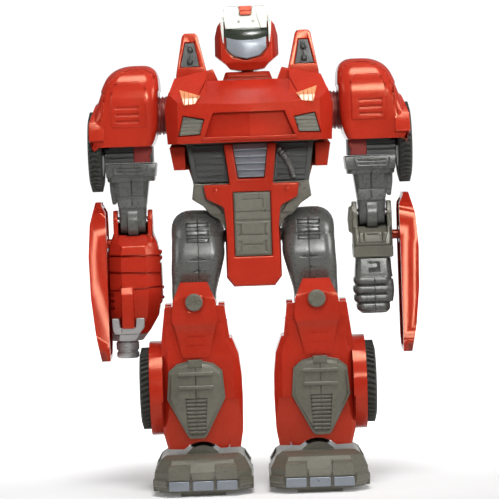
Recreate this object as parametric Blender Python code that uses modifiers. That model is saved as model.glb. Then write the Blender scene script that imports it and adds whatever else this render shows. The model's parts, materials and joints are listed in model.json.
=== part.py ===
"""Transforming robot car, standing in robot mode, for Blender 4.5.

World units are metres, +Z is up and the robot faces -Y, so its right arm is on the -X side.
The origin is on the floor, in the middle of the robot. Every number below is in millimetres,
and MM turns it into metres where a mesh is made. Paired pieces are built once on the +X side
(names ending in _l) and mirrored to the -X side (_r).
"""

from math import cos, pi, radians, sin

import bmesh
import bpy
from mathutils import Matrix, Vector

MM = 0.001

# Driving dimensions: joint axes and the middle planes of the limbs.
GAP = 0.3              # running clearance between neighbouring pieces
ARM_X = 59.5           # middle of an arm, from the middle of the robot
THIGH_X = 27.6         # middle of the hip
LEG_X = 30.2           # middle of the knee and shin
FOOT_X = 28.6          # middle of a foot
SHOULDER_Z = 187.0     # shoulder, elbow, hip, knee and ankle axes all run along X
ELBOW_Z = 135.0
HIP_Z = 126.0
KNEE_Z = 86.0
ANKLE_Y, ANKLE_Z = 2.0, 27.0
CHEST_HINGE_Y, CHEST_HINGE_Z = -9.0, 203.6
ROOF_HINGE_Y, ROOF_HINGE_Z = 27.0, 140.0
NECK_HINGE_Y, NECK_HINGE_Z = 9.0, 206.0
DOOR_PEG_Z = 124.0
WRIST_Z = 112.7
BUTTON_X, BUTTON_Z = 29.0, 182.0

FRONT_WHEEL_Z, FRONT_TYRE_R, FRONT_WHEEL_X = 170.0, 20.0, (73.2, 80.0)
REAR_WHEEL_Z, REAR_TYRE_R, REAR_WHEEL_X = 51.0, 20.5, (50.2, 58.7)
RIM_R, AXLE_R, BARREL_R = 13.0, 2.0, 5.8

FRAME_FRONT, FRAME_BACK = -11.0, 6.0         # the middle frame, in Y
SHELL_BACK = 24.0                            # back of the back shell
TORSO_TOP = 203.0
CHEST_SIDE = 41.3                            # half width of the chest
NOSE_Y, NOSE_Z = -34.5, 187.0                # lower edge of the nose band
BAND_Z = 191.0                               # upper edge of the nose band
HOOD_TOP_Y = -14.0                           # where the hood meets the flat top
CHEST_FLOOR = 172.5


# ---------------------------------------------------------------- scene and materials

for old in list(bpy.data.objects):
    bpy.data.objects.remove(old)

PARTS = bpy.data.collections.new("transforming_robot_car")
CUTTERS = bpy.data.collections.new("cutters")
bpy.context.scene.collection.children.link(PARTS)
bpy.context.scene.collection.children.link(CUTTERS)
CUTTERS.hide_render = True


def material(name, colour, roughness, metallic=0.0, alpha=1.0):
    """A Principled BSDF in one colour."""
    made = bpy.data.materials.new(name)
    made.use_nodes = True
    shader = made.node_tree.nodes["Principled BSDF"]
    shader.inputs["Base Color"].default_value = (*colour, 1.0)
    shader.inputs["Roughness"].default_value = roughness
    shader.inputs["Metallic"].default_value = metallic
    shader.inputs["Alpha"].default_value = alpha
    return made


RED = material("red_plastic", (0.62, 0.05, 0.02), 0.28)
DARK_RED = material("dark_red_plastic", (0.22, 0.015, 0.012), 0.35)
GREY = material("grey_plastic", (0.10, 0.10, 0.085), 0.42)
OLIVE = material("olive_grey_plastic", (0.14, 0.135, 0.10), 0.42)
BLUE_GREY = material("blue_grey_plastic", (0.19, 0.21, 0.24), 0.38)
BLACK = material("black_plastic", (0.012, 0.013, 0.011), 0.5)
RUBBER = material("black_rubber", (0.015, 0.016, 0.012), 0.8)
SILVER = material("silver_paint", (0.42, 0.43, 0.42), 0.32, metallic=0.6)
WHITE = material("white_plastic", (0.78, 0.80, 0.74), 0.3)
AMBER = material("amber_lens", (0.85, 0.36, 0.12), 0.2)
SMOKE = material("smoked_lens", (0.012, 0.02, 0.01), 0.1)
STEEL = material("steel", (0.55, 0.55, 0.56), 0.25, metallic=1.0)
BOARD_GREEN = material("board_green", (0.02, 0.17, 0.06), 0.5)
CELL_BLUE = material("cell_blue", (0.03, 0.08, 0.35), 0.35)


# ---------------------------------------------------------------- modelling tools

def add(name, mesh, finish, collection=PARTS):
    """An object for this mesh, in its collection and with its material."""
    mesh.materials.clear()
    mesh.materials.append(finish)
    made = bpy.data.objects.new(name, mesh)
    collection.objects.link(made)
    return made


def from_bmesh(name, shape, finish):
    """The bmesh as a part, with its faces turned outwards."""
    bmesh.ops.recalc_face_normals(shape, faces=shape.faces)
    mesh = bpy.data.meshes.new(name)
    shape.to_mesh(mesh)
    shape.free()
    return add(name, mesh, finish)


def block(name, x, y, z, finish, bevel=0.0):
    """A box between three (low, high) pairs, with bevelled edges if asked."""
    shape = bmesh.new()
    bmesh.ops.create_cube(shape, size=1.0)
    sides = [(span[1] - span[0]) * MM for span in (x, y, z)]
    middle = [(span[1] + span[0]) / 2 * MM for span in (x, y, z)]
    bmesh.ops.scale(shape, vec=sides, verts=shape.verts)
    bmesh.ops.translate(shape, vec=middle, verts=shape.verts)
    if bevel:
        bmesh.ops.bevel(shape, geom=shape.edges, offset=bevel * MM, segments=1, affect="EDGES")
    return from_bmesh(name, shape, finish)


def settled(part):
    """The part with its modifiers and placing worked into its own mesh."""
    bpy.context.view_layer.update()
    graph = bpy.context.evaluated_depsgraph_get()
    mesh = bpy.data.meshes.new_from_object(part.evaluated_get(graph))
    mesh.transform(part.matrix_world)
    shape = bmesh.new()
    shape.from_mesh(mesh)
    bmesh.ops.remove_doubles(shape, verts=shape.verts, dist=0.0001 * MM)
    bmesh.ops.dissolve_limit(shape, angle_limit=radians(0.1), verts=shape.verts, edges=shape.edges)
    bmesh.ops.recalc_face_normals(shape, faces=shape.faces)
    shape.to_mesh(mesh)
    shape.free()
    name, finish = part.name, part.data.materials[0]
    bpy.data.objects.remove(part)
    return add(name, mesh, finish)


AXIS_TURNS = {
    "XZ": Matrix.Rotation(pi / 2, 4, "X"),                              # (a, b) is (x, z)
    "YZ": Matrix(((0, 0, 1, 0), (1, 0, 0, 0), (0, 1, 0, 0), (0, 0, 0, 1))),  # (a, b) is (y, z)
    "XY": Matrix.Identity(4),                                           # (a, b) is (x, y)
}
THIRD_AXIS = {"XZ": Vector((0, 1, 0)), "YZ": Vector((1, 0, 0)), "XY": Vector((0, 0, 1))}


def outline(name, points, span, plane, finish):
    """A flat outline drawn in a plane, and as thick as span along the third axis."""
    curve = bpy.data.curves.new(name, "CURVE")
    curve.dimensions = "2D"
    curve.fill_mode = "BOTH"
    curve.extrude = (span[1] - span[0]) / 2 * MM
    spline = curve.splines.new("POLY")
    spline.points.add(len(points) - 1)
    for place, (a, b) in zip(spline.points, points):
        place.co = (a * MM, b * MM, 0, 1)
    spline.use_cyclic_u = True
    made = add(name, curve, finish)
    middle = THIRD_AXIS[plane] * (span[0] + span[1]) / 2 * MM
    made.matrix_world = Matrix.Translation(middle) @ AXIS_TURNS[plane]
    return settled(made)


def rod(name, radius, span, axis, at, finish, sides=24):
    """A cylinder over span along X, Y or Z, its axis passing through the point at."""
    shape = bmesh.new()
    bmesh.ops.create_cone(
        shape, cap_ends=True, segments=sides, radius1=radius * MM, radius2=radius * MM,
        depth=(span[1] - span[0]) * MM,
    )
    turn = {"X": Matrix.Rotation(pi / 2, 4, "Y"), "Y": Matrix.Rotation(pi / 2, 4, "X"), "Z": Matrix()}
    middle = Vector(at)
    middle["XYZ".index(axis)] = (span[0] + span[1]) / 2
    bmesh.ops.transform(shape, matrix=Matrix.Translation(middle * MM) @ turn[axis], verts=shape.verts)
    return from_bmesh(name, shape, finish)


def turned(name, profile, axis_at, finish, sides=32):
    """A shape turned about an X-wise axis through (y, z), from (x, radius) points in order of x."""
    mesh = bpy.data.meshes.new(name)
    points = [(radius * MM, 0, -x * MM) for x, radius in profile]
    mesh.from_pydata(points, [(i, i + 1) for i in range(len(points) - 1)], [])
    made = add(name, mesh, finish)
    screw = made.modifiers.new("turn", "SCREW")
    screw.steps = screw.render_steps = sides
    screw.use_merge_vertices = True
    screw.merge_threshold = 0.00001
    lay = Matrix.Rotation(-pi / 2, 4, "Y")
    made.matrix_world = Matrix.Translation(Vector((0, axis_at[0], axis_at[1])) * MM) @ lay
    return settled(made)


def ring(z, x, y, cut):
    """Eight points round a rectangle with cut corners, at height z."""
    (x0, x1), (y0, y1) = x, y
    return [
        (x0 + cut, y0, z), (x1 - cut, y0, z), (x1, y0 + cut, z), (x1, y1 - cut, z),
        (x1 - cut, y1, z), (x0 + cut, y1, z), (x0, y1 - cut, z), (x0, y0 + cut, z),
    ]


def about(middle, half):
    """The (low, high) pair of that half width about a middle."""
    return (middle - half, middle + half)


def loft(name, rings, finish):
    """A solid through unlike sections with equal numbers of points, closed at both ends."""
    shape = bmesh.new()
    levels = [[shape.verts.new(Vector(p) * MM) for p in level] for level in rings]
    count = len(rings[0])
    for low, high in zip(levels, levels[1:]):
        for i in range(count):
            j = (i + 1) % count
            shape.faces.new((low[i], low[j], high[j], high[i]))
    shape.faces.new(levels[0])
    shape.faces.new(levels[-1])
    return from_bmesh(name, shape, finish)


def panel(name, corners, thickness, finish, lift=GAP):
    """A plate on a slanted face: its corners run anticlockwise as seen from outside."""
    a, b, c = (Vector(p) for p in corners[:3])
    out = (b - a).cross(c - b).normalized()
    levels = [[Vector(p) + out * height for p in corners] for height in (lift, lift + thickness)]
    return loft(name, levels, finish)


def combine(part, other, operation, solver="EXACT"):
    """A Boolean of part with other, which is used up."""
    PARTS.objects.unlink(other)
    CUTTERS.objects.link(other)
    step = part.modifiers.new(operation.lower(), "BOOLEAN")
    step.operation = operation
    step.solver = solver
    step.object = other
    made = settled(part)
    bpy.data.objects.remove(other)
    return made


def cut(part, *cutters, solver="EXACT"):
    """Part with each cutter taken out of it."""
    for cutter in cutters:
        part = combine(part, cutter, "DIFFERENCE", solver)
    return part


def join(part, *others, solver="EXACT"):
    """Part and the others as one solid."""
    for other in others:
        part = combine(part, other, "UNION", solver)
    return part


def common(part, *others, solver="EXACT"):
    """What part shares with each of the others."""
    for other in others:
        part = combine(part, other, "INTERSECT", solver)
    return part


def both_sides(half):
    """A closed outline from its +X half, listed from the top of the middle plane to the bottom."""
    mirrored = [(-a, b) for a, b in reversed(half) if a]
    return half + mirrored


def other_side(part, name):
    """A mirrored copy of a +X piece, for the -X side."""
    mesh = part.data.copy()
    mesh.transform(Matrix.Scale(-1, 4, (1, 0, 0)))
    mesh.flip_normals()
    return add(name, mesh, part.data.materials[0])


def arc(middle, radius, start, end, steps):
    """Points along an arc, angles in degrees from the first axis of the plane."""
    angles = [radians(start + (end - start) * i / steps) for i in range(steps + 1)]
    return [(middle[0] + radius * cos(a), middle[1] + radius * sin(a)) for a in angles]


def hood_y(z):
    """How far forward the hood is at height z."""
    return HOOD_TOP_Y + (NOSE_Y + 0.5 - HOOD_TOP_Y) * (TORSO_TOP + 0.2 - z) / (TORSO_TOP + 0.2 - BAND_Z)


# ---------------------------------------------------------------- torso

def make_torso_frame():
    """Grey middle frame: it carries the shoulders above and a thin skirt in front of the hips."""
    half = [
        (0, TORSO_TOP), (34, TORSO_TOP), (38.5, 195), (38.5, 173), (31.5, 172), (28.6, 152),
        (29.6, 145), (24, 141.2), (15.5, 131.4), (13.2, 129.4), (0, 129.4),
    ]
    frame = outline("torso_frame", both_sides(half), (FRAME_FRONT, FRAME_BACK), "XZ", GREY)
    frame = cut(frame, block("behind_skirt", (-40, 40), (-8.4, 20), (120, 140.8), GREY))
    vent = [(12.9, 171.6), (28.4, 171.6), (26.2, 152.6), (11.6, 152.6)]
    for side in (1, -1):
        pocket = [(side * a, b) for a, b in vent]
        bore = rod("bore", 4.4, (side * 35 - 6, side * 35 + 6), "X", (0, 0, SHOULDER_Z), GREY)
        frame = cut(frame, outline("pocket", pocket, (-12, -8), "XZ", GREY), bore)
    return frame


def make_back_shell():
    """Red casing behind the frame, hollow for the cells, board and speaker."""
    half = [
        (0, 195), (20, 195), (20, 202.6), (36, 202.6), (38.8, 197), (38.8, 173), (40, 171.4),
        (38, 159.6), (31, 159.6), (27, 146), (20, 138), (0, 138),
    ]
    shell = outline("back_shell", both_sides(half), (-9, SHELL_BACK), "XZ", RED)
    front = [(0, 210), (50, 210), (50, 171), (32.3, 171), (32.3, 130), (0, 130)]
    hollow = [(0, 191), (33, 191), (33, 162.5), (28, 158.5), (24.4, 146.5), (0, 146.5)]
    return cut(
        shell,
        outline("front", both_sides(front), (-10, FRAME_BACK + GAP), "XZ", RED),
        outline("hollow", both_sides(hollow), (5, 21.5), "XZ", RED),
        block("window", (-25, 25), (20, 26), (148, 170), RED),
        rod("hole", 3.7, (20, 26), "Y", (BUTTON_X, 0, BUTTON_Z), RED),
        solver="MANIFOLD",
    )


def make_electronics():
    """Two cells, their door and screw, the sound board and the speaker."""
    rows = {"battery_upper": 164.9, "battery_lower": 153.7}
    cells = []
    for name, z in rows.items():
        cell = rod(name, 5.25, (-22, 22), "X", (0, 14, z), CELL_BLUE)
        cells.append(join(cell, rod("nub", 1.9, (21, 23), "X", (0, 14, z), CELL_BLUE, sides=16)))
    door = block("battery_door", (-24.7, 24.7), (21.8, SHELL_BACK), (148.3, 169.7), RED)
    tab = block("tab", (-7, 7), (22.4, SHELL_BACK + 0.6), (160, 163), RED)
    screw = rod("battery_screw", 2.2, (SHELL_BACK + GAP, SHELL_BACK + 1.3), "Y", (0, 0, 152), STEEL)
    slot = block("slot", (-1.6, 1.6), (SHELL_BACK + 0.8, SHELL_BACK + 2), (151.6, 152.4), STEEL)
    board = block("circuit_board", (-28, 24), (7, 8.2), (172.5, 190), BOARD_GREEN)
    speaker = rod("speaker", 8.8, (9, 14), "Y", (-13, 0, 181.2), BLACK)
    magnet = rod("magnet", 4.5, (13.5, 17), "Y", (-13, 0, 181.2), BLACK)
    return [*cells, join(door, tab), cut(screw, slot), board, join(speaker, magnet)]


def make_sound_button():
    """Round push button in the back shell, with a collar that keeps it in."""
    cap = rod("sound_button", 3.4, (18, SHELL_BACK + 1.8), "Y", (BUTTON_X, 0, BUTTON_Z), SILVER)
    collar = rod("collar", 3.95, (19.4, 21.2), "Y", (BUTTON_X, 0, BUTTON_Z), SILVER)
    return join(cap, collar)


def make_pelvis_cover():
    """Red front of the belly, and the crotch block between the thighs."""
    half = [
        (0, 171.8), (13, 171.8), (10.6, 152), (23.6, 152), (22.6, 145), (15.4, 141.4),
        (13.9, 140), (13, 131), (13, 106), (9.8, 101.6), (0, 101.6),
    ]
    cover = outline("pelvis_cover", both_sides(half), (-17.4, FRAME_FRONT - GAP), "XZ", RED)
    crotch = loft(
        "crotch",
        [
            ring(101.9, (-9.6, 9.6), (-14, 8), 1.5),
            ring(106, (-12.8, 12.8), (-14, 11), 1.5),
            ring(128.9, (-12.8, 12.8), (-14, 12), 1.5),
        ],
        RED,
    )
    cover = join(cover, crotch)
    window = outline(
        "window", [(-8.9, 173), (8.9, 173), (6.6, 154.6), (-6.6, 154.6)], (-19, -13.4), "XZ", RED
    )
    channel = block("channel", (-9.3, 9.3), (-19, -14.6), (116.1, 148), RED)
    bores = rod("bores", 3.4, (-14, 14), "X", (0, 0, HIP_Z), RED)
    return cut(cover, window, channel, bores)


def make_belly_trim():
    """The slatted vent and the engraved strip, let into the pelvis cover."""
    vent = outline(
        "belly_vent", [(-8.5, 171.6), (8.5, 171.6), (6.3, 155), (-6.3, 155)], (-16.4, -13.7),
        "XZ", BLUE_GREY,
    )
    grooves = [
        block("groove", (-10, 10), (-18, -15.8), (z, z + 0.6), BLUE_GREY) for z in (167, 162.6, 158.2)
    ]
    strip = block("crotch_strip", (-9, 9), (-16.6, -14.9), (116.4, 147.7), OLIVE)
    steps = [block("step", (-10, 10), (-18, -16), (z, z + 0.7), OLIVE) for z in (140, 133.4)]
    return cut(vent, *grooves), cut(strip, *steps)


def make_fin():
    """Upright fin behind the hood corner, with a buttress towards the neck."""
    face = [
        (14.6, TORSO_TOP + GAP), (17, 209.2), (20.2, 208.4), (24.2, 226), (25.6, 227.2),
        (30.6, 227.2), (31.9, 225.8), (35.3, 207), (35.6, TORSO_TOP + GAP),
    ]
    fin = outline("fin_l", face, (-7.4, 2.5), "XZ", RED)
    side = [(-7.4, 202), (-7.4, 210), (-5.4, 228), (-1, 228), (2.5, 212), (2.5, 202)]
    return common(fin, outline("side", side, (0, 50), "YZ", RED))


# ---------------------------------------------------------------- chest plate

def make_chest_plate():
    """The car's hood and nose, hollow behind, hinged along its top edge."""
    back = FRAME_FRONT - GAP
    side = [
        (back, TORSO_TOP + 0.2), (HOOD_TOP_Y, TORSO_TOP + 0.2), (NOSE_Y + 0.5, BAND_Z),
        (NOSE_Y, NOSE_Z), (-30, CHEST_FLOOR), (back, CHEST_FLOOR),
    ]
    chest = outline("chest_plate", side, (-45, 45), "YZ", RED)
    front = [
        (0, 204), (35.8, 204), (39.2, 197), (CHEST_SIDE, 190), (40.2, 171), (0, 171),
    ]
    plan = [
        (-CHEST_SIDE - 1, -10), (-CHEST_SIDE, -20), (-34.6, -31.5), (0, NOSE_Y), (34.6, -31.5),
        (CHEST_SIDE, -20), (CHEST_SIDE + 1, -10),
    ]
    chest = common(
        chest,
        outline("front", both_sides(front), (-40, -5), "XZ", RED),
        outline("plan", plan, (165, 215), "XY", RED),
        solver="MANIFOLD",
    )
    inner = [(-10, 200.4), (-14.6, 200.4), (-25, 194), (-25.5, 188), (-24.5, 175.5), (-10, 175.5)]
    intake = [(-17.4, 187.2), (17.4, 187.2), (22, 175.4), (-22, 175.4)]
    chest = cut(
        chest,
        outline("inner", inner, (-35.5, 35.5), "YZ", RED),
        outline("intake", intake, (-45, -28.6), "XZ", RED),
        solver="MANIFOLD",
    )
    for sign in (1, -1):
        pod_face = [(20, 196), (20.5, 208.2), (36, 204.8), (38.6, 198), (35.8, 193.5)]
        pod = outline("pod", [(sign * a, b) for a, b in pod_face], (-30, back), "XZ", RED)
        slope = [(back, 209), (-12.6, 209), (-29.3, 192.6), (back, 192.6)]
        pod = common(pod, outline("slope", slope, (-45, 45), "YZ", RED), solver="MANIFOLD")
        lamp = [(21.6, 184.4), (32.2, 186.2), (34.9, 176), (24, 176.4)]
        recess = outline("recess", [(sign * a, b) for a, b in lamp], (-45, -28.4), "XZ", RED)
        chest = cut(join(chest, pod, solver="MANIFOLD"), recess, solver="MANIFOLD")
    return chest


def make_headlight():
    """Amber lens on the slope of the hood's corner."""
    corners = [(23.2, 194.8), (24.6, 192), (31.6, 191.7), (33.4, 199)]
    pod_slope = (29.3 - 12.6) / (209 - 192.6)
    placed = []
    for x, z in corners:
        on_pod = -12.6 - (209 - z) * pod_slope
        placed.append((x, min(hood_y(z), on_pod), z))
    plane = [Vector(p) for p in placed]
    tilt = (plane[3].y - plane[1].y) / (plane[3].z - plane[1].z)
    flat = [(p.x, plane[1].y - 0.5 + tilt * (p.z - plane[1].z), p.z) for p in plane]
    return panel("headlight_l", flat, 0.8, AMBER)


# ---------------------------------------------------------------- car roof on the back

def make_roof():
    """Hollow cabin of the car, hinged at its lower edge, and its windscreen."""
    base, crown = SHELL_BACK + 0.8, -NOSE_Y

    def section(y, half, low, high, nip):
        """A rectangle with cut corners, facing back."""
        return [(a, y, b) for a, b, _ in ring(0, (-half, half), (low, high), nip)]

    outer = loft(
        "roof_panel", [section(base, 24.8, 138.6, 192, 4), section(crown, 18.5, 148, 180, 3)], RED
    )
    inner = loft(
        "inner", [section(base - 1, 22.6, 141, 189.6, 3), section(crown - 2.6, 16.6, 150.5, 177.5, 2)],
        RED,
    )
    roof = cut(outer, inner)
    low, high = 182.0, 190.5

    def slope_y(z):
        return crown + (base - crown) * (z - 180) / (192 - 180)

    def slope_x(z):
        return 18.5 + (24.8 - 18.5) * (z - 180) / (192 - 180) - 3.4

    glass = [
        (slope_x(low), slope_y(low), low), (-slope_x(low), slope_y(low), low),
        (-slope_x(high), slope_y(high), high), (slope_x(high), slope_y(high), high),
    ]
    return roof, panel("windscreen", glass, 0.9, SMOKE)


# ---------------------------------------------------------------- head

def make_head():
    """Neck block, head shell, helmet cap, visor and mouth plate."""
    neck = loft(
        "neck_block",
        [ring(TORSO_TOP + 0.5, (-12.3, 12.3), (-9, 9), 2), ring(207.3, (-10.9, 10.9), (-8, 8.6), 2)],
        RED,
    )
    neck = join(neck, rod("peg", 3, (206, 216), "Z", (0, 0, 0), RED, sides=20))
    shell = loft(
        "head_shell",
        [
            ring(207.6, (-8.6, 8.6), (-9.6, 7.6), 3), ring(210.6, (-10.8, 10.8), (-9.8, 8), 2.5),
            ring(214.8, (-15.8, 15.8), (-9.2, 9.5), 2.5),
            ring(223, (-15.3, 15.3), (-9.2, 10.5), 2.5), ring(229.6, (-13.9, 13.9), (-9, 10), 2.5),
            ring(232, (-12, 12), (-8, 9), 2.5),
        ],
        RED,
    )
    chin_face = [
        (-8, 208.2), (8, 208.2), (9.6, 211), (9.6, 216), (5, 212.9), (-5, 212.9), (-9.6, 216), (-9.6, 211),
    ]
    chin = outline("chin", chin_face, (-12, -8), "XZ", RED)
    shell = cut(join(shell, chin), rod("socket", 3.4, (205, 216.6), "Z", (0, 0, 0), RED, sides=20))
    cap = loft(
        "helmet_cap",
        [
            ring(232.3, (-10.6, 10.6), (-11.5, 8), 2), ring(236.5, (-11.2, 11.2), (-10.5, 8), 2),
            ring(240, (-10.4, 10.4), (-7, 6.5), 2),
        ],
        WHITE,
    )
    brow = block("brow", (-10.2, 10.2), (-12, -9.5), (228.7, 233.5), WHITE)
    visor = loft(
        "visor", [ring(223.2, (-9.2, 9.2), (-12.6, -9.5), 1), ring(228.4, (-10.2, 10.2), (-12, -9.5), 1)],
        SMOKE,
    )
    mask = outline(
        "face_mask",
        [(-9.4, 222.8), (-8.2, 217.2), (-5, 213.5), (0, 213.1), (5, 213.5), (8.2, 217.2), (9.4, 222.8)],
        (-13.4, -9.5), "XZ", SILVER,
    )
    return neck, shell, join(cap, brow), visor, mask


# ---------------------------------------------------------------- arms

def make_shoulder():
    """Hub, fender, wheel block and upper arm, which swing together about the shoulder axis."""
    hub = turned(
        "shoulder_hub_l",
        [(31, 0), (31, 4), (39, 4), (39, 9.6), (42.8, 9.6), (43.2, 9), (43.6, 9.6), (50, 9.6), (50, 0)],
        (0, SHOULDER_Z), DARK_RED,
    )
    pad_face = [
        (48, 172), (45.2, 180), (44.4, 196), (44.4, 205), (46, 209.4), (50, 211.6), (57, 212),
        (63.5, 209.6), (68.6, 204.4), (71.8, 196), (72.8, 186), (72.8, 172),
    ]
    pad_side = [
        (-22, 171), (-22, 196), (-18.5, 206), (-10, 211.8), (10, 211.8), (18.5, 206), (22, 196),
        (22, 171),
    ]
    fender = outline("fender_l", pad_face, (-24, 24), "XZ", RED)
    fender = common(fender, outline("side", pad_side, (40, 90), "YZ", RED))
    centre = (0, FRONT_WHEEL_Z)
    arch = arc(centre, 25.6, 12, 168, 14) + arc(centre, 21.6, 168, 12, 14)
    lip_face = [(70, 170), (78.6, 170), (78.6, 184), (75.6, 193), (72.4, 196.6), (70, 196.6)]
    lip = outline("lip", lip_face, (-30, 30), "XZ", RED)
    fender = join(fender, common(outline("arch", arch, (71.4, 80), "YZ", RED), lip))
    inside_face = [
        (47.6, 165), (47.2, 203.6), (50.8, 208.4), (57, 209), (62, 207.2), (66.4, 202.4),
        (69.4, 195), (70.4, 186), (70.4, 165),
    ]
    inside_side = [
        (-19.6, 165), (-19.6, 195.4), (-16.6, 203.8), (-9, 208.8), (9, 208.8), (16.6, 203.8),
        (19.6, 195.4), (19.6, 165),
    ]
    hollow = outline("hollow", inside_face, (-24, 24), "XZ", RED)
    hollow = common(hollow, outline("side", inside_side, (40, 90), "YZ", RED))
    seat = rod("seat", 10, (42, 48), "X", (0, 0, SHOULDER_Z), RED, sides=32)
    wheel_room = rod("room", 21.6, (72.8 - 1.6, 85), "X", (0, 0, FRONT_WHEEL_Z), RED, sides=40)
    fender = cut(fender, hollow, seat, wheel_room)
    block_face = [
        (48.4, 164), (48.4, 175), (50.4, 177.5), (50.4, 199), (66.6, 199), (68.6, 193.6),
        (69.6, 185), (69.6, 171.4), (72.2, 171.4), (72.2, 164),
    ]
    inner_block = outline("wheel_block_l", block_face, (-11, 11), "XZ", BLACK)
    axle = rod("axle", AXLE_R, (69, FRONT_WHEEL_X[1] - 0.4), "X", (0, 0, FRONT_WHEEL_Z), BLACK)
    return hub, fender, join(inner_block, axle), make_upper_arm()


def make_upper_arm():
    """Grey cuff, tapered shaft, and the tongue that the elbow pin passes through."""
    arm = loft(
        "upper_arm_l",
        [
            ring(ELBOW_Z, about(ARM_X, 6.4), (-6, 6), 1), ring(142, about(ARM_X, 7), (-6.6, 6.6), 1.2),
            ring(155.5, about(ARM_X, 8.8), (-8, 8), 1.5),
        ],
        GREY,
    )
    cuff = loft(
        "cuff",
        [ring(154.8, about(ARM_X, 11.6), (-10, 10), 2), ring(163.6, about(ARM_X, 12.4), (-10.5, 10.5), 2)],
        GREY,
    )
    knuckle = rod("knuckle", 6, about(ARM_X, 6.3), "X", (0, 0, ELBOW_Z), GREY)
    tongue = rod("tongue", 8.3, about(ARM_X, 2.6), "X", (0, 0, ELBOW_Z), GREY)
    bore = rod("bore", 1.9, about(ARM_X, 9), "X", (0, 0, ELBOW_Z), GREY, sides=16)
    return cut(join(arm, cuff, knuckle, tongue), bore)


def make_wheel(place, x, tyre_radius, z):
    """Tyre and rim of one wheel, on the +X side."""
    low, high = x
    soft = turned(
        f"{place}_tyre_l",
        [
            (low, RIM_R + GAP), (low, tyre_radius - 1.6), (low + 1.6, tyre_radius),
            (high - 1.6, tyre_radius), (high, tyre_radius - 1.6), (high, RIM_R + GAP),
            (low, RIM_R + GAP),
        ],
        (0, z), RUBBER, sides=36,
    )
    bore = AXLE_R + GAP
    rim = turned(
        f"{place}_rim_l",
        [
            (low + 0.4, bore), (low + 0.4, RIM_R), (high - 0.5, RIM_R), (high - 1.6, RIM_R - 1.6),
            (high - 1.6, 4), (high - 0.4, 3.2), (high - 0.4, bore), (low + 0.4, bore),
        ],
        (0, z), SILVER, sides=24,
    )
    return soft, rim


def add_elbow_clevis(forearm, ear_top):
    """Ears either side of the upper arm's tongue, a web behind it, and the room the elbow needs."""
    forearm = join(forearm, block("web", about(ARM_X, 9.8), (7, 9.6), (119, 137), RED))
    for sign in (1, -1):
        inner, outer = sorted((ARM_X + sign * 7.4, ARM_X + sign * 9.8))
        ear = [(-6.5, 120), (-6.5, 136), (-3.5, ear_top), (3.5, ear_top), (6.5, 136), (6.5, 120)]
        forearm = join(forearm, outline("ear", ear, (inner, outer), "YZ", RED))
    swing = rod("swing", 8.7, about(ARM_X, 3), "X", (0, 0, ELBOW_Z), RED)
    bore = rod("bore", 1.9, about(ARM_X, 11), "X", (0, 0, ELBOW_Z), RED, sides=16)
    wedge_side = [(-4, 128.7), (-4, 131), (-14, 131), (-14, 120.2)]
    wedge = outline("wedge", wedge_side, about(ARM_X, 7.35), "YZ", RED)
    return cut(forearm, swing, bore, wedge)


def make_cannon_arm():
    """Right forearm: a cannon with a silver barrel, built on the +X side and mirrored."""
    barrel_x = ARM_X + 5
    body = loft(
        "cannon_body",
        [
            ring(76, about(barrel_x - 0.3, 7.3), (-7.4, 7.4), 2.5),
            ring(81, about(ARM_X + 1.5, 9.8), (-9.5, 9.5), 3),
            ring(88, about(ARM_X, 11.6), (-11.5, 11.5), 3),
            ring(97, about(ARM_X - 0.2, 12.7), (-12.2, 12.2), 3),
            ring(121, about(ARM_X, 12.4), (-11, 11), 3),
            ring(128.5, about(ARM_X, 9.8), (-7.5, 7.5), 2),
        ],
        RED,
    )
    rib = block("rib", about(ARM_X + 1.5, 3.4), (-15.4, -8), (82.5, 102), RED, bevel=1)
    body = add_elbow_clevis(join(body, rib), 140.6)
    socket = rod("socket", BARREL_R + GAP, (70, 79.6), "Z", (barrel_x, 0, 0), RED)
    peg_room = rod("peg", 2.7, (65.5, 75), "X", (0, 0, DOOR_PEG_Z), RED, sides=16)
    body = cut(body, socket, peg_room)
    barrel = rod("cannon_barrel", BARREL_R, (67.4, 79.3), "Z", (barrel_x, 0, 0), SILVER)
    muzzle = rod("muzzle", 3.4, (66, 70.4), "Z", (barrel_x, 0, 0), SILVER, sides=20)
    return body, cut(barrel, muzzle)


def make_fist_arm():
    """Left forearm, and the fist that turns at the wrist."""
    forearm = loft(
        "forearm_l",
        [
            ring(WRIST_Z + GAP, about(ARM_X, 9.4), (-8.4, 8.4), 1.5),
            ring(120, about(ARM_X, 9.8), (-9.4, 9.4), 1.5),
            ring(128.5, about(ARM_X, 9.8), (-7.5, 7.5), 1.5),
        ],
        OLIVE,
    )
    forearm = add_elbow_clevis(forearm, 141)
    wrist_bore = rod("bore", 3.3, (112, 120.6), "Z", (ARM_X, 0, 0), OLIVE, sides=20)
    peg_room = rod("peg", 2.7, (65.5, 75), "X", (0, 0, DOOR_PEG_Z), OLIVE, sides=16)
    forearm = cut(forearm, wrist_bore, peg_room)
    fist = loft(
        "fist_l",
        [
            ring(85, about(ARM_X, 8.4), (-7.5, 7), 2.5),
            ring(89, about(ARM_X, 10), (-8.8, 8), 2.5),
            ring(100.5, about(ARM_X, 10.4), (-9.2, 8), 2.5),
            ring(104.5, about(ARM_X, 9), (-7.6, 7.6), 2),
            ring(WRIST_Z, about(ARM_X, 8.6), (-7.4, 7.4), 2),
        ],
        OLIVE,
    )
    for z in (99.6, 95.4, 91.2):
        fist = cut(fist, block("groove", about(ARM_X, 12), (-11, -8.2), (z - 0.5, z + 0.5), OLIVE))
    return forearm, join(fist, rod("pin", 3, (111, 119.8), "Z", (ARM_X, 0, 0), OLIVE, sides=20))


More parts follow.
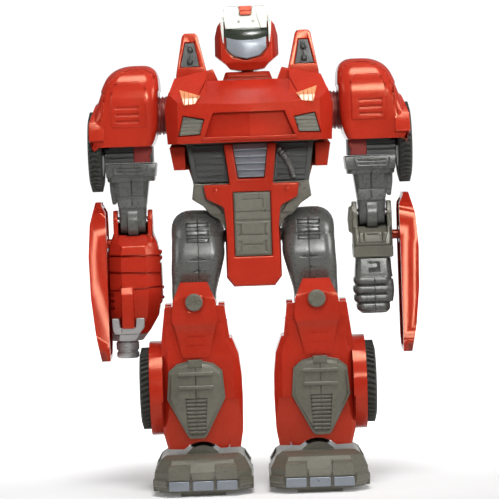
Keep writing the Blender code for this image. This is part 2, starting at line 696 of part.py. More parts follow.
def make_door():
    """Car door: a tray with deep edges, carried on a peg in the forearm's outer side."""
    side = [
        (-8, 145), (-12.3, 140), (-15, 122), (-15, 75), (-11, 66), (9, 66), (15, 73), (15, 122),
        (12.3, 140), (8, 145),
    ]
    face = [
        (73, 145.5), (77.5, 145.5), (80.6, 134), (81.6, 118), (81.2, 98), (79.4, 80), (77, 65.5),
        (72.8, 65.5), (72.6, 100), (72.6, 136),
    ]
    door = outline("door_l", side, (60, 90), "YZ", RED)
    door = common(door, outline("face", face, (-20, 20), "XZ", RED))
    tray = [
        (-6.6, 142), (-10, 138), (-12.6, 121), (-12.6, 76), (-9.6, 68.6), (8, 68.6), (12.6, 74.4),
        (12.6, 121), (10, 138), (6.6, 142),
    ]
    depth = [
        (70, 150), (77, 150), (77.8, 134), (78.8, 118), (78.4, 98), (76.8, 80), (74.8, 65), (70, 65),
    ]
    hollow = common(
        outline("tray", tray, (60, 90), "YZ", RED), outline("depth", depth, (-20, 20), "XZ", RED)
    )
    boss = rod("boss", 4.2, (72.8, 79.4), "X", (0, 0, DOOR_PEG_Z), RED)
    peg = rod("peg", 2.4, (66, 74), "X", (0, 0, DOOR_PEG_Z), RED, sides=16)
    return join(cut(door, hollow), boss, peg)


# ---------------------------------------------------------------- legs

def make_thigh():
    """Round hip, thigh shell and the knuckle at the knee."""
    hip = turned(
        "thigh_l",
        [
            (14.4, 0), (14.4, 5), (15.6, 8.2), (18, 11), (22, 13), (26, 13.4), (33, 13.4),
            (37.4, 11.6), (40, 8), (40.6, 4.6), (40.6, 0),
        ],
        (0, HIP_Z), GREY,
    )
    shell = loft(
        "shell",
        [
            ring(92, about(LEG_X, 10.8), (-11, 8.5), 2),
            ring(100, about(LEG_X, 11.1), (-12, 9), 2.5),
            ring(104.8, about(29.4, 11.7), (-11.9, 10.2), 2.8),
            ring(110, about(28.6, 12.4), (-14.6, 11), 3.5),
            ring(117, about(THIGH_X, 13), (-14.6, 12.4), 4.5),
            ring(HIP_Z, about(THIGH_X, 12.4), (-11, 11), 6),
        ],
        GREY,
    )
    knuckle = rod("knuckle", 9, about(LEG_X, 7.8), "X", (0, 0, KNEE_Z), GREY)
    neck = block("neck", about(LEG_X, 7.8), (-8, 7.5), (85, 94), GREY)
    pivot = rod("pivot", 3.1, (5, 16), "X", (0, 0, HIP_Z), GREY)
    thigh = join(hip, shell, knuckle, neck, pivot)
    return cut(thigh, rod("bore", 2.2, about(LEG_X, 12), "X", (0, 0, KNEE_Z), GREY, sides=16))


def make_shin():
    """Shin shell with knee ears, knee cap, wheel housing and the room for the ankle."""
    shin = loft(
        "shin_l",
        [
            ring(21.6, (9.6, 45.6), (-16.5, 14), 3), ring(30, (8.2, 47.8), (-18, 17), 4),
            ring(45, (7.8, 48.2), (-18, 19), 4), ring(57, (8, 48.2), (-18, 18), 4),
            ring(68, (9.2, 47.4), (-18, 14), 3), ring(76, (12.2, 46), (-17, 10), 3),
        ],
        RED,
    )
    for sign in (1, -1):
        inner, outer = sorted((LEG_X + sign * 11.7, LEG_X + sign * 14.9))
        ear = [(-9, 70), (-9, 90), (-6, 93), (6, 93), (9, 90), (9, 70)]
        shoulder = [(10.2, 68), (10.2, 92.4), (14.4, 92.4), (14.9, 91.6), (16.9, 76), (17.2, 68)]
        front = outline("front", [(LEG_X + sign * a, b) for a, b in shoulder], (-16.2, -12.9), "XZ", RED)
        flank = [(LEG_X + sign * a, b) for a, b in [(12, 68), (12, 84), (15.9, 84), (17.2, 68)]]
        flank = outline("flank", flank, (-14, 7), "XZ", RED)
        shin = join(shin, outline("ear", ear, (inner, outer), "YZ", RED), front, flank)
    cap_face = [
        (-6.6, 104.3), (-10.6, 95), (-11.4, 85), (-10, 82.5), (-6.8, 67), (6.8, 67), (10, 82.5),
        (11.4, 85), (10.6, 95), (6.6, 104.3),
    ]
    cap = outline("cap", [(LEG_X + a, b) for a, b in cap_face], (-22, -12.5), "XZ", RED)
    cap_side = [
        (-12.4, 105), (-17.5, 105), (-20.6, 97), (-20.6, 84), (-18.5, 80), (-18.5, 66), (-12.4, 66),
    ]
    cap = common(cap, outline("side", cap_side, (0, 60), "YZ", RED))
    bridge = block("bridge", about(LEG_X, 15), (-17, -12.6), (70, 84), RED)
    centre = (0, REAR_WHEEL_Z)
    housing = outline("housing", arc(centre, 23.6, 0, 360, 24)[:-1], (47, 53.6), "YZ", RED)
    shin = join(shin, cap, bridge, housing)
    pocket = rod("pocket", REAR_TYRE_R + 0.9, (49.6, 60), "X", (0, 0, REAR_WHEEL_Z), RED, sides=40)
    bore = rod("bore", 2.2, about(LEG_X, 20), "X", (0, 0, KNEE_Z), RED, sides=16)
    calf_room = block("calf", (13, 42.6), (-13.6, 25), (38.6, 68), RED)
    ankle_room = block("room", about(FOOT_X, 13.6), (-14.5, 13.4), (15, 36), RED)
    arch = rod("arch", 12.5, (-20, 0), "Y", (FOOT_X, 0, 12.9), RED)
    heel_room = outline("heel", [(-6, 20), (-6, 21.8), (22, 29.5), (22, 20)], (0, 60), "YZ", RED)
    trunnion_bore = rod("trunnion", 2.7, about(FOOT_X, 16.4), "X", (0, ANKLE_Y, ANKLE_Z), RED, sides=16)
    shin = cut(shin, pocket, bore, calf_room, ankle_room, arch, heel_room, trunnion_bore)
    axle = rod("axle", AXLE_R, (48, REAR_WHEEL_X[1] - 0.4), "X", (0, 0, REAR_WHEEL_Z), RED)
    return join(shin, axle)


def make_shin_trim():
    """Ribbed cover, knee button and knee pin."""
    face = [
        (-3.4, 27.2), (3.4, 27.2), (4.8, 28.6), (14.4, 47), (13.3, 60.6), (9, 64.2), (3.6, 65.4),
        (-3.6, 65.4), (-9, 64.2), (-13.3, 60.6), (-14.4, 47), (-4.8, 28.6),
    ]
    cover = outline("shin_cover_l", [(LEG_X + 0.6 + a, b) for a, b in face], (-20.2, -18.3), "XZ", OLIVE)
    button = rod("knee_button_l", 4.3, (-22.6, -20.9), "Y", (LEG_X, 0, 94.6), OLIVE)
    pin = rod("knee_pin_l", 1.9, about(LEG_X, 14.6), "X", (0, 0, KNEE_Z), STEEL, sides=16)
    return cover, button, pin


def make_foot():
    """Foot with its bumper, sole pad, ankle dome and the trunnions it tilts on."""
    foot = loft(
        "foot_l",
        [
            ring(2, about(FOOT_X, 21.6), (-31.5, 24), 6), ring(4.4, about(FOOT_X, 23.8), (-34, 26), 7),
            ring(12, about(FOOT_X, 23.8), (-33.2, 26), 7), ring(17.4, about(FOOT_X, 21), (-27.5, 19), 6),
            ring(19.4, about(FOOT_X, 18), (-23.5, 14), 4),
        ],
        OLIVE,
    )
    sole = block("sole", about(FOOT_X, 11), (-29, 23), (0, 3), OLIVE)
    dome = rod("dome", 10.4, (-16, 6.8), "Y", (FOOT_X, 0, 12.9), OLIVE)
    stem = block("stem", about(FOOT_X, 6), (-3.6, 7.6), (20, ANKLE_Z), OLIVE)
    knuckle = rod("knuckle", 5.6, about(FOOT_X, 6), "X", (0, ANKLE_Y, ANKLE_Z), OLIVE)
    trunnions = rod("trunnions", 2.4, about(FOOT_X, 16), "X", (0, ANKLE_Y, ANKLE_Z), OLIVE, sides=16)
    return join(foot, sole, dome, stem, knuckle, trunnions)


# ---------------------------------------------------------------- assembly

def body(name, pivot, parent, parts):
    """An empty on a joint's axis that carries its pieces, each with its origin on that axis."""
    point = Vector(pivot) * MM
    empty = bpy.data.objects.new(f"joint_{name}", None)
    PARTS.objects.link(empty)
    empty.empty_display_size = 5 * MM
    empty["pivot"] = tuple(point)
    empty.location = point
    if parent:
        empty.parent = parent
        empty.location = point - Vector(parent["pivot"])
    for part in parts:
        part.data.transform(Matrix.Translation(-point))
        part.data.shade_smooth()
        part.data.set_sharp_from_angle(angle=radians(35))
        part.parent = empty
    return empty


def assemble():
    """Builds every piece and hangs it on its joint."""
    chest_pieces = [make_chest_plate(), make_headlight()]
    chest_pieces.append(other_side(chest_pieces[1], "headlight_r"))
    fin = make_fin()
    torso_pieces = [
        make_torso_frame(), make_back_shell(), make_pelvis_cover(), *make_belly_trim(),
        *make_electronics(), fin, other_side(fin, "fin_r"),
    ]
    torso = body("torso", (0, 0, 0), None, torso_pieces)
    body("chest", (0, CHEST_HINGE_Y, CHEST_HINGE_Z), torso, chest_pieces)
    body("sound_button", (BUTTON_X, SHELL_BACK, BUTTON_Z), torso, [make_sound_button()])
    body("roof", (0, ROOF_HINGE_Y, ROOF_HINGE_Z), torso, make_roof())
    neck_block, *head_pieces = make_head()
    neck = body("neck", (0, NECK_HINGE_Y, NECK_HINGE_Z), torso, [neck_block])
    body("head", (0, 0, NECK_HINGE_Z), neck, head_pieces)

    shoulder = make_shoulder()
    front_wheel = make_wheel("front", FRONT_WHEEL_X, FRONT_TYRE_R, FRONT_WHEEL_Z)
    rear_wheel = make_wheel("rear", REAR_WHEEL_X, REAR_TYRE_R, REAR_WHEEL_Z)
    cannon, fist_arm, door = make_cannon_arm(), make_fist_arm(), make_door()
    thigh, shin, shin_trim, foot = make_thigh(), make_shin(), make_shin_trim(), make_foot()
    elbow_pin = rod("elbow_pin_l", 1.6, about(ARM_X, 9.6), "X", (0, 0, ELBOW_Z), STEEL, sides=16)
    sets = {
        1: {
            "shoulder": shoulder, "front_wheel": front_wheel, "rear_wheel": rear_wheel,
            "forearm": (fist_arm[0], elbow_pin), "door": (door,), "thigh": (thigh,),
            "shin": (shin, *shin_trim), "foot": (foot,),
        },
    }
    sets[-1] = {
        key: tuple(other_side(p, p.name[:-1] + "r") for p in pieces)
        for key, pieces in sets[1].items() if key != "forearm"
    }
    mirrored_cannon = [other_side(p, p.name) for p in cannon]
    for original, copy in zip(cannon, mirrored_cannon):
        name = original.name
        bpy.data.objects.remove(original)
        copy.name = name
    sets[-1]["forearm"] = (*mirrored_cannon, other_side(elbow_pin, "elbow_pin_r"))

    for sign, tag in ((1, "l"), (-1, "r")):
        pieces = sets[sign]
        upper = body(f"shoulder_{tag}", (sign * ARM_X, 0, SHOULDER_Z), torso, pieces["shoulder"])
        front_hub = (sign * FRONT_WHEEL_X[0], 0, FRONT_WHEEL_Z)
        body(f"front_wheel_{tag}", front_hub, upper, pieces["front_wheel"])
        lower = body(f"forearm_{tag}", (sign * ARM_X, 0, ELBOW_Z), upper, pieces["forearm"])
        body(f"door_{tag}", (sign * FRONT_WHEEL_X[0], 0, DOOR_PEG_Z), lower, pieces["door"])
        if sign == 1:
            body("fist_l", (ARM_X, 0, WRIST_Z), lower, [fist_arm[1]])
        upper_leg = body(f"thigh_{tag}", (sign * THIGH_X, 0, HIP_Z), torso, pieces["thigh"])
        lower_leg = body(f"shin_{tag}", (sign * LEG_X, 0, KNEE_Z), upper_leg, pieces["shin"])
        rear_hub = (sign * REAR_WHEEL_X[0], 0, REAR_WHEEL_Z)
        body(f"rear_wheel_{tag}", rear_hub, lower_leg, pieces["rear_wheel"])
        body(f"foot_{tag}", (sign * FOOT_X, ANKLE_Y, ANKLE_Z), lower_leg, pieces["foot"])


assemble()
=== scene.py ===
"""Looks of the transforming robot car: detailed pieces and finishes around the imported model.

The robot faces -Y and its right arm is on the -X side. Shapes are drawn in millimetres, and
MM turns them into metres where a mesh is made. Paired pieces are built on the +X side, kept as
NAME_l, and mirrored as NAME_r. A piece that starts as cad(node) is a welded copy of that node,
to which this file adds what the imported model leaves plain.
"""

import json
from math import cos, pi, radians, sin

import bmesh
import bpy
from mathutils import Matrix, Vector

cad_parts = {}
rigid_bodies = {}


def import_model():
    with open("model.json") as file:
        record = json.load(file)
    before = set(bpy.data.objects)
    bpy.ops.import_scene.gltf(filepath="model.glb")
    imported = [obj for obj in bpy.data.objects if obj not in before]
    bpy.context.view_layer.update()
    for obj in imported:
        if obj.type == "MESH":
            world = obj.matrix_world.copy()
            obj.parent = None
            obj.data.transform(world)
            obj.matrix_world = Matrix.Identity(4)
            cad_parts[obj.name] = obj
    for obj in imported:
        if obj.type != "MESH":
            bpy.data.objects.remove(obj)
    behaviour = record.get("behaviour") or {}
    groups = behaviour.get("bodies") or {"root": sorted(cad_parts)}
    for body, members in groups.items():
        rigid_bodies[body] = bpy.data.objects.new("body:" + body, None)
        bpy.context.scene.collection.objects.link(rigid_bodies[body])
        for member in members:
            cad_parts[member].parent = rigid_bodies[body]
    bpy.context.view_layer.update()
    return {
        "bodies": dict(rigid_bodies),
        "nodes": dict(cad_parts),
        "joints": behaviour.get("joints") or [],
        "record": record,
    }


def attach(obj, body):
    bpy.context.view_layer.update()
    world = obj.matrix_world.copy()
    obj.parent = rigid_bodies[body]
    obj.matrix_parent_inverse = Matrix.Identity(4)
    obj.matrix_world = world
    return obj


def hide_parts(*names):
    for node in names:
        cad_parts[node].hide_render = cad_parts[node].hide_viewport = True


MM = 0.001

ARM_X, LEG_X, FOOT_X = 59.5, 30.2, 28.6                     # middle planes of the limbs
BARREL_X = 64.5                                             # axis of the cannon
SHOULDER_Z, ELBOW_Z, HIP_Z, KNEE_Z = 187.0, 135.0, 126.0, 86.0
FRONT_WHEEL_Z, REAR_WHEEL_Z = 170.0, 51.0
SHELL_BACK, ROOF_BACK = 24.0, 34.5
HIP_FORWARD = 60                                            # how far the hip swings forward, in degrees
FLOOR_HALF = 6.0                                            # half the studio floor, in metres
HOOD_TOP, HOOD_NOSE = (-14.0, 203.2), (-34.0, 191.0)        # the hood's slope, as (y, z)

for startup in list(bpy.data.objects):
    bpy.data.objects.remove(startup)
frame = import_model()
NODES = frame["nodes"]


# ---------------------------------------------------------------- materials

def node(tree, kind, inputs=None, **settings):
    """A shader node with its settings, its inputs set or linked."""
    made = tree.nodes.new("ShaderNode" + kind)
    for key, value in settings.items():
        setattr(made, key, value)
    for key, value in (inputs or {}).items():
        if isinstance(value, bpy.types.NodeSocket):
            tree.links.new(value, made.inputs[key])
        else:
            made.inputs[key].default_value = value
    return made


def noise(tree, place, size, detail=2.0, stretch=(1, 1, 1)):
    """Noise with features of about that many millimetres, as a 0 to 1 socket."""
    scaled = node(tree, "Mapping", {"Vector": place, "Scale": [s / (size * MM) for s in stretch]})
    made = node(tree, "TexNoise", {"Vector": scaled.outputs["Vector"], "Scale": 1.0, "Detail": detail})
    return made.outputs["Fac"]


def between(tree, value, start, end, low, high):
    """The socket's start to end span as low to high, held at both ends."""
    made = node(tree, "MapRange", {
        "Value": value, "From Min": start, "From Max": end, "To Min": low, "To Max": high,
    })
    return made.outputs["Result"]


def tinted(tree, share, first, second):
    """The first colour going to the second as share goes from 0 to 1."""
    made = node(tree, "Mix", data_type="RGBA")
    for key, value in (("A", first), ("B", second)):
        socket = next(s for s in made.inputs if s.name == key and s.type == "RGBA")
        if isinstance(value, bpy.types.NodeSocket):
            tree.links.new(value, socket)
        else:
            socket.default_value = (*value, 1.0)
    tree.links.new(share, made.inputs["Factor"])
    return next(s for s in made.outputs if s.type == "RGBA")


def moulded(name, colour, gloss, edge, dust_and_shade, metallic=0.0, coat=0.0, peel=0.5, flow=0.12, glint=(1, 1, 1)):
    """Moulded or painted plastic: soft colour flow, orange peel, scuffs, darker corners and paler edges.

    The darker corners are painted shade and dust; the paler edges are wear and a painted highlight.
    gloss is the (low, high) roughness, edge the colour of the paler edges, the argument after it the colour
    of the darker corners, peel the strength of the fine bumps, flow how far the colour wanders and glint the
    reflections' tint."""
    made = bpy.data.materials.new(name)
    made.use_nodes = True
    tree = made.node_tree
    shader = tree.nodes["Principled BSDF"]
    place = node(tree, "TexCoord").outputs["Object"]
    deep = [c * (1 - flow) for c in colour]
    pale = [min(1.0, c * (1 + flow) + 0.004) for c in colour]
    body = tinted(tree, between(tree, noise(tree, place, 16), 0.3, 0.7, 0, 1), deep, pale)

    # Paler edges: ambient occlusion from inside finds convex edges and lightens them towards edge, which is
    # wear and also a painted highlight.
    wear_and_highlight = node(tree, "AmbientOcclusion", {"Distance": 0.7 * MM}, samples=4, inside=True)
    ragged = noise(tree, place, 1.6, detail=4)
    outline = between(tree, wear_and_highlight.outputs["AO"], 0.4, 0.8, 0, 0.45)
    share = node(tree, "Math", {0: outline, 1: ragged}, operation="MULTIPLY").outputs[0]
    body = tinted(tree, share, body, edge)
    # Darker corners: ambient occlusion darkens corners, grooves and gaps towards the corner colour, which
    # paints shade there as well as dust.
    corner = node(tree, "AmbientOcclusion", {"Distance": 2.2 * MM}, samples=4)
    body = tinted(tree, between(tree, corner.outputs["AO"], 0.15, 0.75, 0.55, 0), body, dust_and_shade)
    tree.links.new(body, shader.inputs["Base Color"])

    scuffs = noise(tree, place, 1.4, detail=5)
    smear = noise(tree, place, 9, detail=3)
    mixed = node(tree, "Math", {0: scuffs, 1: smear}, operation="MULTIPLY").outputs[0]
    tree.links.new(between(tree, mixed, 0.10, 0.45, *gloss), shader.inputs["Roughness"])
    skin = noise(tree, place, 0.5, detail=3)
    sink = noise(tree, place, 11, detail=1)
    fine = node(tree, "Bump", {"Height": skin, "Strength": 0.06 * peel, "Distance": 0.05 * MM})
    wide = node(tree, "Bump", {
        "Height": sink, "Strength": 0.25, "Distance": 0.35 * MM, "Normal": fine.outputs["Normal"],
    })
    tree.links.new(wide.outputs["Normal"], shader.inputs["Normal"])
    shader.inputs["Metallic"].default_value = metallic
    shader.inputs["Coat Weight"].default_value = coat
    shader.inputs["Coat Roughness"].default_value = 0.12
    shader.inputs["Specular Tint"].default_value = (*glint, 1.0)
    return made


def glassy(name, colour, edge_wear_and_highlight, roughness, coat):
    """Clear-coated lens plastic over a coloured ground, with depth mottling."""
    # The pale edge colour paints a highlight as well as wear, and the corners darken to 0.4 of the colour,
    # painted shade as well as dust.
    made = moulded(name, colour, (roughness, roughness + 0.1), edge_wear_and_highlight, [c * 0.4 for c in colour], coat=coat)
    made.node_tree.nodes["Principled BSDF"].inputs["Coat Roughness"].default_value = 0.04
    return made


# Each finish lists its colour, roughness, the paler edge colour (wear and a painted highlight) and the darker
# corner colour (dust and painted shade).
MATERIALS = {
    "red_plastic": moulded(
        "red_plastic", (0.35, 0.014, 0.005), (0.14, 0.26), (0.48, 0.04, 0.02), (0.13, 0.005, 0.003),
        coat=0.08, glint=(1.0, 0.46, 0.26),
    ),
    "dark_red_plastic": moulded(
        "dark_red_plastic", (0.19, 0.017, 0.016), (0.28, 0.42), (0.22, 0.03, 0.03), (0.05, 0.006, 0.006),
        glint=(1.0, 0.5, 0.4),
    ),
    "grey_plastic": moulded(
        "grey_plastic", (0.080, 0.083, 0.075), (0.24, 0.34), (0.17, 0.17, 0.16), (0.035, 0.034, 0.028),
        metallic=0.25, peel=0.1,
    ),
    "olive_grey_plastic": moulded(
        "olive_grey_plastic", (0.090, 0.086, 0.064), (0.26, 0.42), (0.24, 0.23, 0.18),
        (0.045, 0.042, 0.03), metallic=0.2,
    ),
    "blue_grey_plastic": moulded(
        "blue_grey_plastic", (0.20, 0.225, 0.255), (0.26, 0.42), (0.30, 0.31, 0.33), (0.05, 0.055, 0.06),
        metallic=0.3,
    ),
    "black_plastic": moulded(
        "black_plastic", (0.022, 0.025, 0.021), (0.35, 0.55), (0.04, 0.042, 0.04), (0.006, 0.006, 0.006)
    ),
    "black_rubber": moulded(
        "black_rubber", (0.022, 0.023, 0.018), (0.62, 0.85), (0.06, 0.06, 0.05), (0.008, 0.008, 0.007),
        peel=1.6
    ),
    "silver_paint": moulded(
        "silver_paint", (0.34, 0.34, 0.33), (0.26, 0.42), (0.62, 0.62, 0.62), (0.12, 0.12, 0.12),
        metallic=0.45, peel=1.2,
    ),
    "white_plastic": moulded(
        "white_plastic", (0.60, 0.62, 0.56), (0.26, 0.42), (0.72, 0.73, 0.68), (0.28, 0.28, 0.24), flow=0.03
    ),
    "amber_lens": glassy("amber_lens", (0.66, 0.25, 0.10), (0.8, 0.42, 0.22), 0.12, 0.6),
    "smoked_lens": glassy("smoked_lens", (0.016, 0.022, 0.012), (0.03, 0.04, 0.025), 0.2, 0.2),
    "steel": moulded(
        "steel", (0.50, 0.50, 0.51), (0.18, 0.36), (0.8, 0.8, 0.8), (0.15, 0.14, 0.13), metallic=1.0,
        peel=0.3
    ),
    "board_green": moulded(
        "board_green", (0.02, 0.15, 0.05), (0.30, 0.5), (0.1, 0.3, 0.15), (0.01, 0.06, 0.02), flow=0.25
    ),
    "cell_blue": moulded(
        "cell_blue", (0.03, 0.08, 0.33), (0.20, 0.35), (0.3, 0.35, 0.5), (0.01, 0.02, 0.1), metallic=0.3
    ),
}


# ---------------------------------------------------------------- modelling tools

def new_object(shape):
    """An object for the bmesh, its faces turned outwards."""
    bmesh.ops.recalc_face_normals(shape, faces=shape.faces)
    mesh = bpy.data.meshes.new("shape")
    shape.to_mesh(mesh)
    shape.free()
    made = bpy.data.objects.new("shape", mesh)
    bpy.context.scene.collection.objects.link(made)
    return made


def cad(name):
    """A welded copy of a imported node's mesh, its flat faces in one piece."""
    source = NODES[name].data
    shape = bmesh.new()
    corners = [shape.verts.new(v.co) for v in source.vertices]
    for face in source.polygons:
        shape.faces.new([corners[i] for i in face.vertices])
    return new_object(settle(shape))


def settle(shape):
    """The bmesh with doubled points welded and flat faces merged."""
    bmesh.ops.remove_doubles(shape, verts=shape.verts, dist=0.004 * MM)
    bmesh.ops.dissolve_limit(shape, angle_limit=radians(0.4), verts=shape.verts, edges=shape.edges)
    return shape


PLANES = {"XZ": (0, 2, 1), "YZ": (1, 2, 0), "XY": (0, 1, 2)}


def slab(points, low, high, plane="XZ"):
    """A solid over an outline drawn in a plane, between two depths along the third axis.

    A depth may be a function of the point, which drapes that face over a slope."""
    first, second, third = PLANES[plane]
    shape = bmesh.new()
    ends = []
    for depth in (low, high):
        level = []
        for a, b in points:
            place = Vector()
            place[first], place[second] = a, b
            place[third] = depth(a, b) if callable(depth) else depth
            level.append(shape.verts.new(place * MM))
        ends.append(level)
    for i in range(len(points)):
        j = (i + 1) % len(points)
        shape.faces.new((ends[0][i], ends[0][j], ends[1][j], ends[1][i]))
    for level in ends:
        shape.faces.new(level)
    return new_object(shape)


def rect(a, b):
    """The four corners of a rectangle over two (low, high) pairs."""
    return [(a[0], b[0]), (a[1], b[0]), (a[1], b[1]), (a[0], b[1])]


def box(x, y, z):
    """A block over three (low, high) pairs."""
    return slab(rect(x, z), y[0], y[1])


def about(middle, half):
    """The (low, high) pair of that half width about a middle."""
    return (middle - half, middle + half)


def at(middle, points):
    """Outline points whose first coordinate is measured from a middle line."""
    return [(middle + a, b) for a, b in points]


def loft(rings):
    """A solid through rings with equal numbers of points, closed at both ends."""
    shape = bmesh.new()
    levels = [[shape.verts.new(Vector(p) * MM) for p in ring] for ring in rings]
    count = len(rings[0])
    for low, high in zip(levels, levels[1:]):
        for i in range(count):
            j = (i + 1) % count
            shape.faces.new((low[i], low[j], high[j], high[i]))
    shape.faces.new(levels[0])
    shape.faces.new(levels[-1])
    return new_object(shape)


def rounded(z, x0, x1, y0, y1, corner, steps=6):
    """Points round a rectangle with round corners, at height z."""
    points = []
    centres = ((x1, y1, -1, -1, 0), (x0, y1, 1, -1, 90), (x0, y0, 1, 1, 180), (x1, y0, -1, 1, 270))
    for x, y, inward_x, inward_y, start in centres:
        for k in range(steps + 1):
            turn = radians(start + 90 * k / steps)
            middle = (x + inward_x * corner, y + inward_y * corner)
            points.append((middle[0] + corner * cos(turn), middle[1] + corner * sin(turn), z))
    return points


def hull(levels, grow=0.0, smooth=5, middle=0.0):
    """A solid through (z, x0, x1, y0, y1, corner) sections, curved between them, x from the middle."""
    rows = []
    for i in range(len(levels) - 1):
        near = [levels[min(max(k, 0), len(levels) - 1)] for k in range(i - 1, i + 3)]
        for k in range(smooth):
            t = k / smooth
            weights = (
                (-t + 2 * t * t - t ** 3) / 2, (2 - 5 * t * t + 3 * t ** 3) / 2,
                (t + 4 * t * t - 3 * t ** 3) / 2, (t ** 3 - t * t) / 2,
            )
            rows.append([sum(w * value for w, value in zip(weights, column)) for column in zip(*near)])
    rows.append(levels[-1])
    return loft([
        rounded(z, middle + x0 - grow, middle + x1 + grow, y0 - grow, y1 + grow, corner + grow)
        for z, x0, x1, y0, y1, corner in rows
    ])


def spin(profile, axis="X", at=(0, 0, 0), steps=48):
    """A shape turned about an axis through the point, from (along, radius) points."""
    along_axis = "XYZ".index(axis)
    first, second = (k for k in range(3) if k != along_axis)
    shape = bmesh.new()
    rings = []
    for along, radius in profile:
        ring = []
        for k in range(steps if radius else 1):
            place = Vector(at)
            place[along_axis] = along
            place[first] += radius * cos(2 * pi * k / steps)
            place[second] += radius * sin(2 * pi * k / steps)
            ring.append(shape.verts.new(place * MM))
        rings.append(ring)
    if profile[0] == profile[-1]:
        bmesh.ops.delete(shape, geom=rings[-1], context="VERTS")
        rings[-1] = rings[0]
    else:
        for end in (rings[0], rings[-1]):
            if len(end) > 1:
                shape.faces.new(end)
    for low, high in zip(rings, rings[1:]):
        for k in range(steps):
            j = (k + 1) % steps
            corners = (low[k % len(low)], low[j % len(low)], high[j % len(high)], high[k % len(high)])
            corners = tuple(dict.fromkeys(corners))
            if len(corners) > 2:
                shape.faces.new(corners)
    return new_object(shape)


def rod(radius, span, axis, at, steps=32, nip=0.0):
    """A cylinder over span along an axis, with chamfered rims if asked."""
    low, high = span
    if not nip:
        return spin([(low, radius), (high, radius)], axis, at, steps)
    return spin(
        [(low, radius - nip), (low + nip, radius), (high - nip, radius), (high, radius - nip)], axis, at,
        steps
    )


def bead(centre, radii, steps=24):
    """An ellipsoid."""
    shape = bmesh.new()
    bmesh.ops.create_uvsphere(shape, u_segments=steps, v_segments=steps // 2, radius=1.0)
    bmesh.ops.scale(shape, vec=Vector(radii) * MM, verts=shape.verts)
    bmesh.ops.translate(shape, vec=Vector(centre) * MM, verts=shape.verts)
    return new_object(shape)


def hose(points, radius, rib, steps=14):
    """A tube along the points whose radius steps out by rib at every other one."""
    rings = []
    for i, point in enumerate(points):
        ahead = Vector(points[min(i + 1, len(points) - 1)]) - Vector(points[max(i - 1, 0)])
        turn = ahead.to_track_quat("Z", "Y")
        size = radius + rib * (i % 4 > 1)
        rings.append([
            Vector(point) + turn @ Vector((size * cos(2 * pi * k / steps), size * sin(2 * pi * k / steps),
                                           0))
            for k in range(steps)
        ])
    return loft(rings)


def turned(part, degrees, axis, at):
    """The part turned about an axis through the point."""
    point = Vector(at) * MM
    part.data.transform(
        Matrix.Translation(point) @ Matrix.Rotation(radians(degrees), 4, axis) @ Matrix.Translation(-point)
    )
    return part


def copy_of(part):
    """A second object with its own copy of the part's mesh."""
    made = bpy.data.objects.new("shape", part.data.copy())
    bpy.context.scene.collection.objects.link(made)
    return made


def other_side(part):
    """A mirrored copy of a +X part, for the -X side."""
    made = copy_of(part)
    made.data.transform(Matrix.Scale(-1, 4, (1, 0, 0)))
    made.data.flip_normals()
    return made


def worked(part):
    """The part's mesh with its modifiers worked in, and whether it is closed."""
    graph = bpy.context.evaluated_depsgraph_get()
    mesh = bpy.data.meshes.new_from_object(part.evaluated_get(graph))
    shape = bmesh.new()
    shape.from_mesh(mesh)
    settle(shape)
    shape.to_mesh(mesh)
    closed = len(shape.faces) > 3 and all(edge.is_manifold for edge in shape.edges)
    shape.free()
    return mesh, closed


def combine(part, others, operation):
    """A Boolean of part with the others, which are used up.

    Where the exact solver leaves an open mesh, the manifold one is tried."""
    tools = bpy.data.collections.new("tools")
    for other in others:
        bpy.context.scene.collection.objects.unlink(other)
        tools.objects.link(other)
    results = []
    for solver in ("EXACT", "MANIFOLD"):
        step = part.modifiers.new("step", "BOOLEAN")
        step.operation = operation
        step.solver = solver
        step.operand_type = "COLLECTION"
        step.collection = tools
        results.append(worked(part))
        part.modifiers.clear()
        if results[-1][1]:
            break
    part.data = next((mesh for mesh, closed in results if closed), results[0][0])
    for other in others:
        bpy.data.objects.remove(other)
    bpy.data.collections.remove(tools)
    return part


def cut(part, *cutters):
    """Part less the cutters."""
    return combine(part, cutters, "DIFFERENCE")


def join(part, *others):
    """Part and the others as one solid."""
    return combine(part, others, "UNION")


def common(part, other):
    """What part and the other share."""
    return combine(part, [other], "INTERSECT")


def engraved(part, marks, core):
    """Part with the marks cut into it, down to the surface of core."""
    first, *rest = marks
    if rest:
        first = join(first, *rest)
    return cut(part, cut(first, core))


def raised(part, marks, skin):
    """Part with the marks standing proud of it, up to the surface of skin."""
    first, *rest = marks
    if rest:
        first = join(first, *rest)
    return join(part, common(first, skin))


def keep(part, name, body, finish, *stands_for, edge=0.35, clamp=False):
    """Names the piece, rounds its edges, gives it its material and hangs it on its body.

    clamp holds the rounding back where faces are narrower than edge."""
    part.name = part.data.name = name
    shape = bmesh.new()
    shape.from_mesh(part.data)
    bmesh.ops.triangulate(shape, faces=[face for face in shape.faces if len(face.verts) > 4])
    shape.to_mesh(part.data)
    shape.free()
    if edge:
        rounding = part.modifiers.new("edges", "BEVEL")
        rounding.width = edge * MM
        rounding.segments = 2
        rounding.limit_method = "ANGLE"
        rounding.angle_limit = radians(30)
        rounding.use_clamp_overlap = clamp
        even = part.modifiers.new("normals", "WEIGHTED_NORMAL")
        even.keep_sharp = True
        even.weight = 80
    part.data.shade_smooth()
    if not edge:
        part.data.set_sharp_from_angle(angle=radians(40))
    part.data.materials.clear()
    part.data.materials.append(MATERIALS[finish])
    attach(part, body)
    if stands_for:
        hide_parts(*stands_for)
    return part


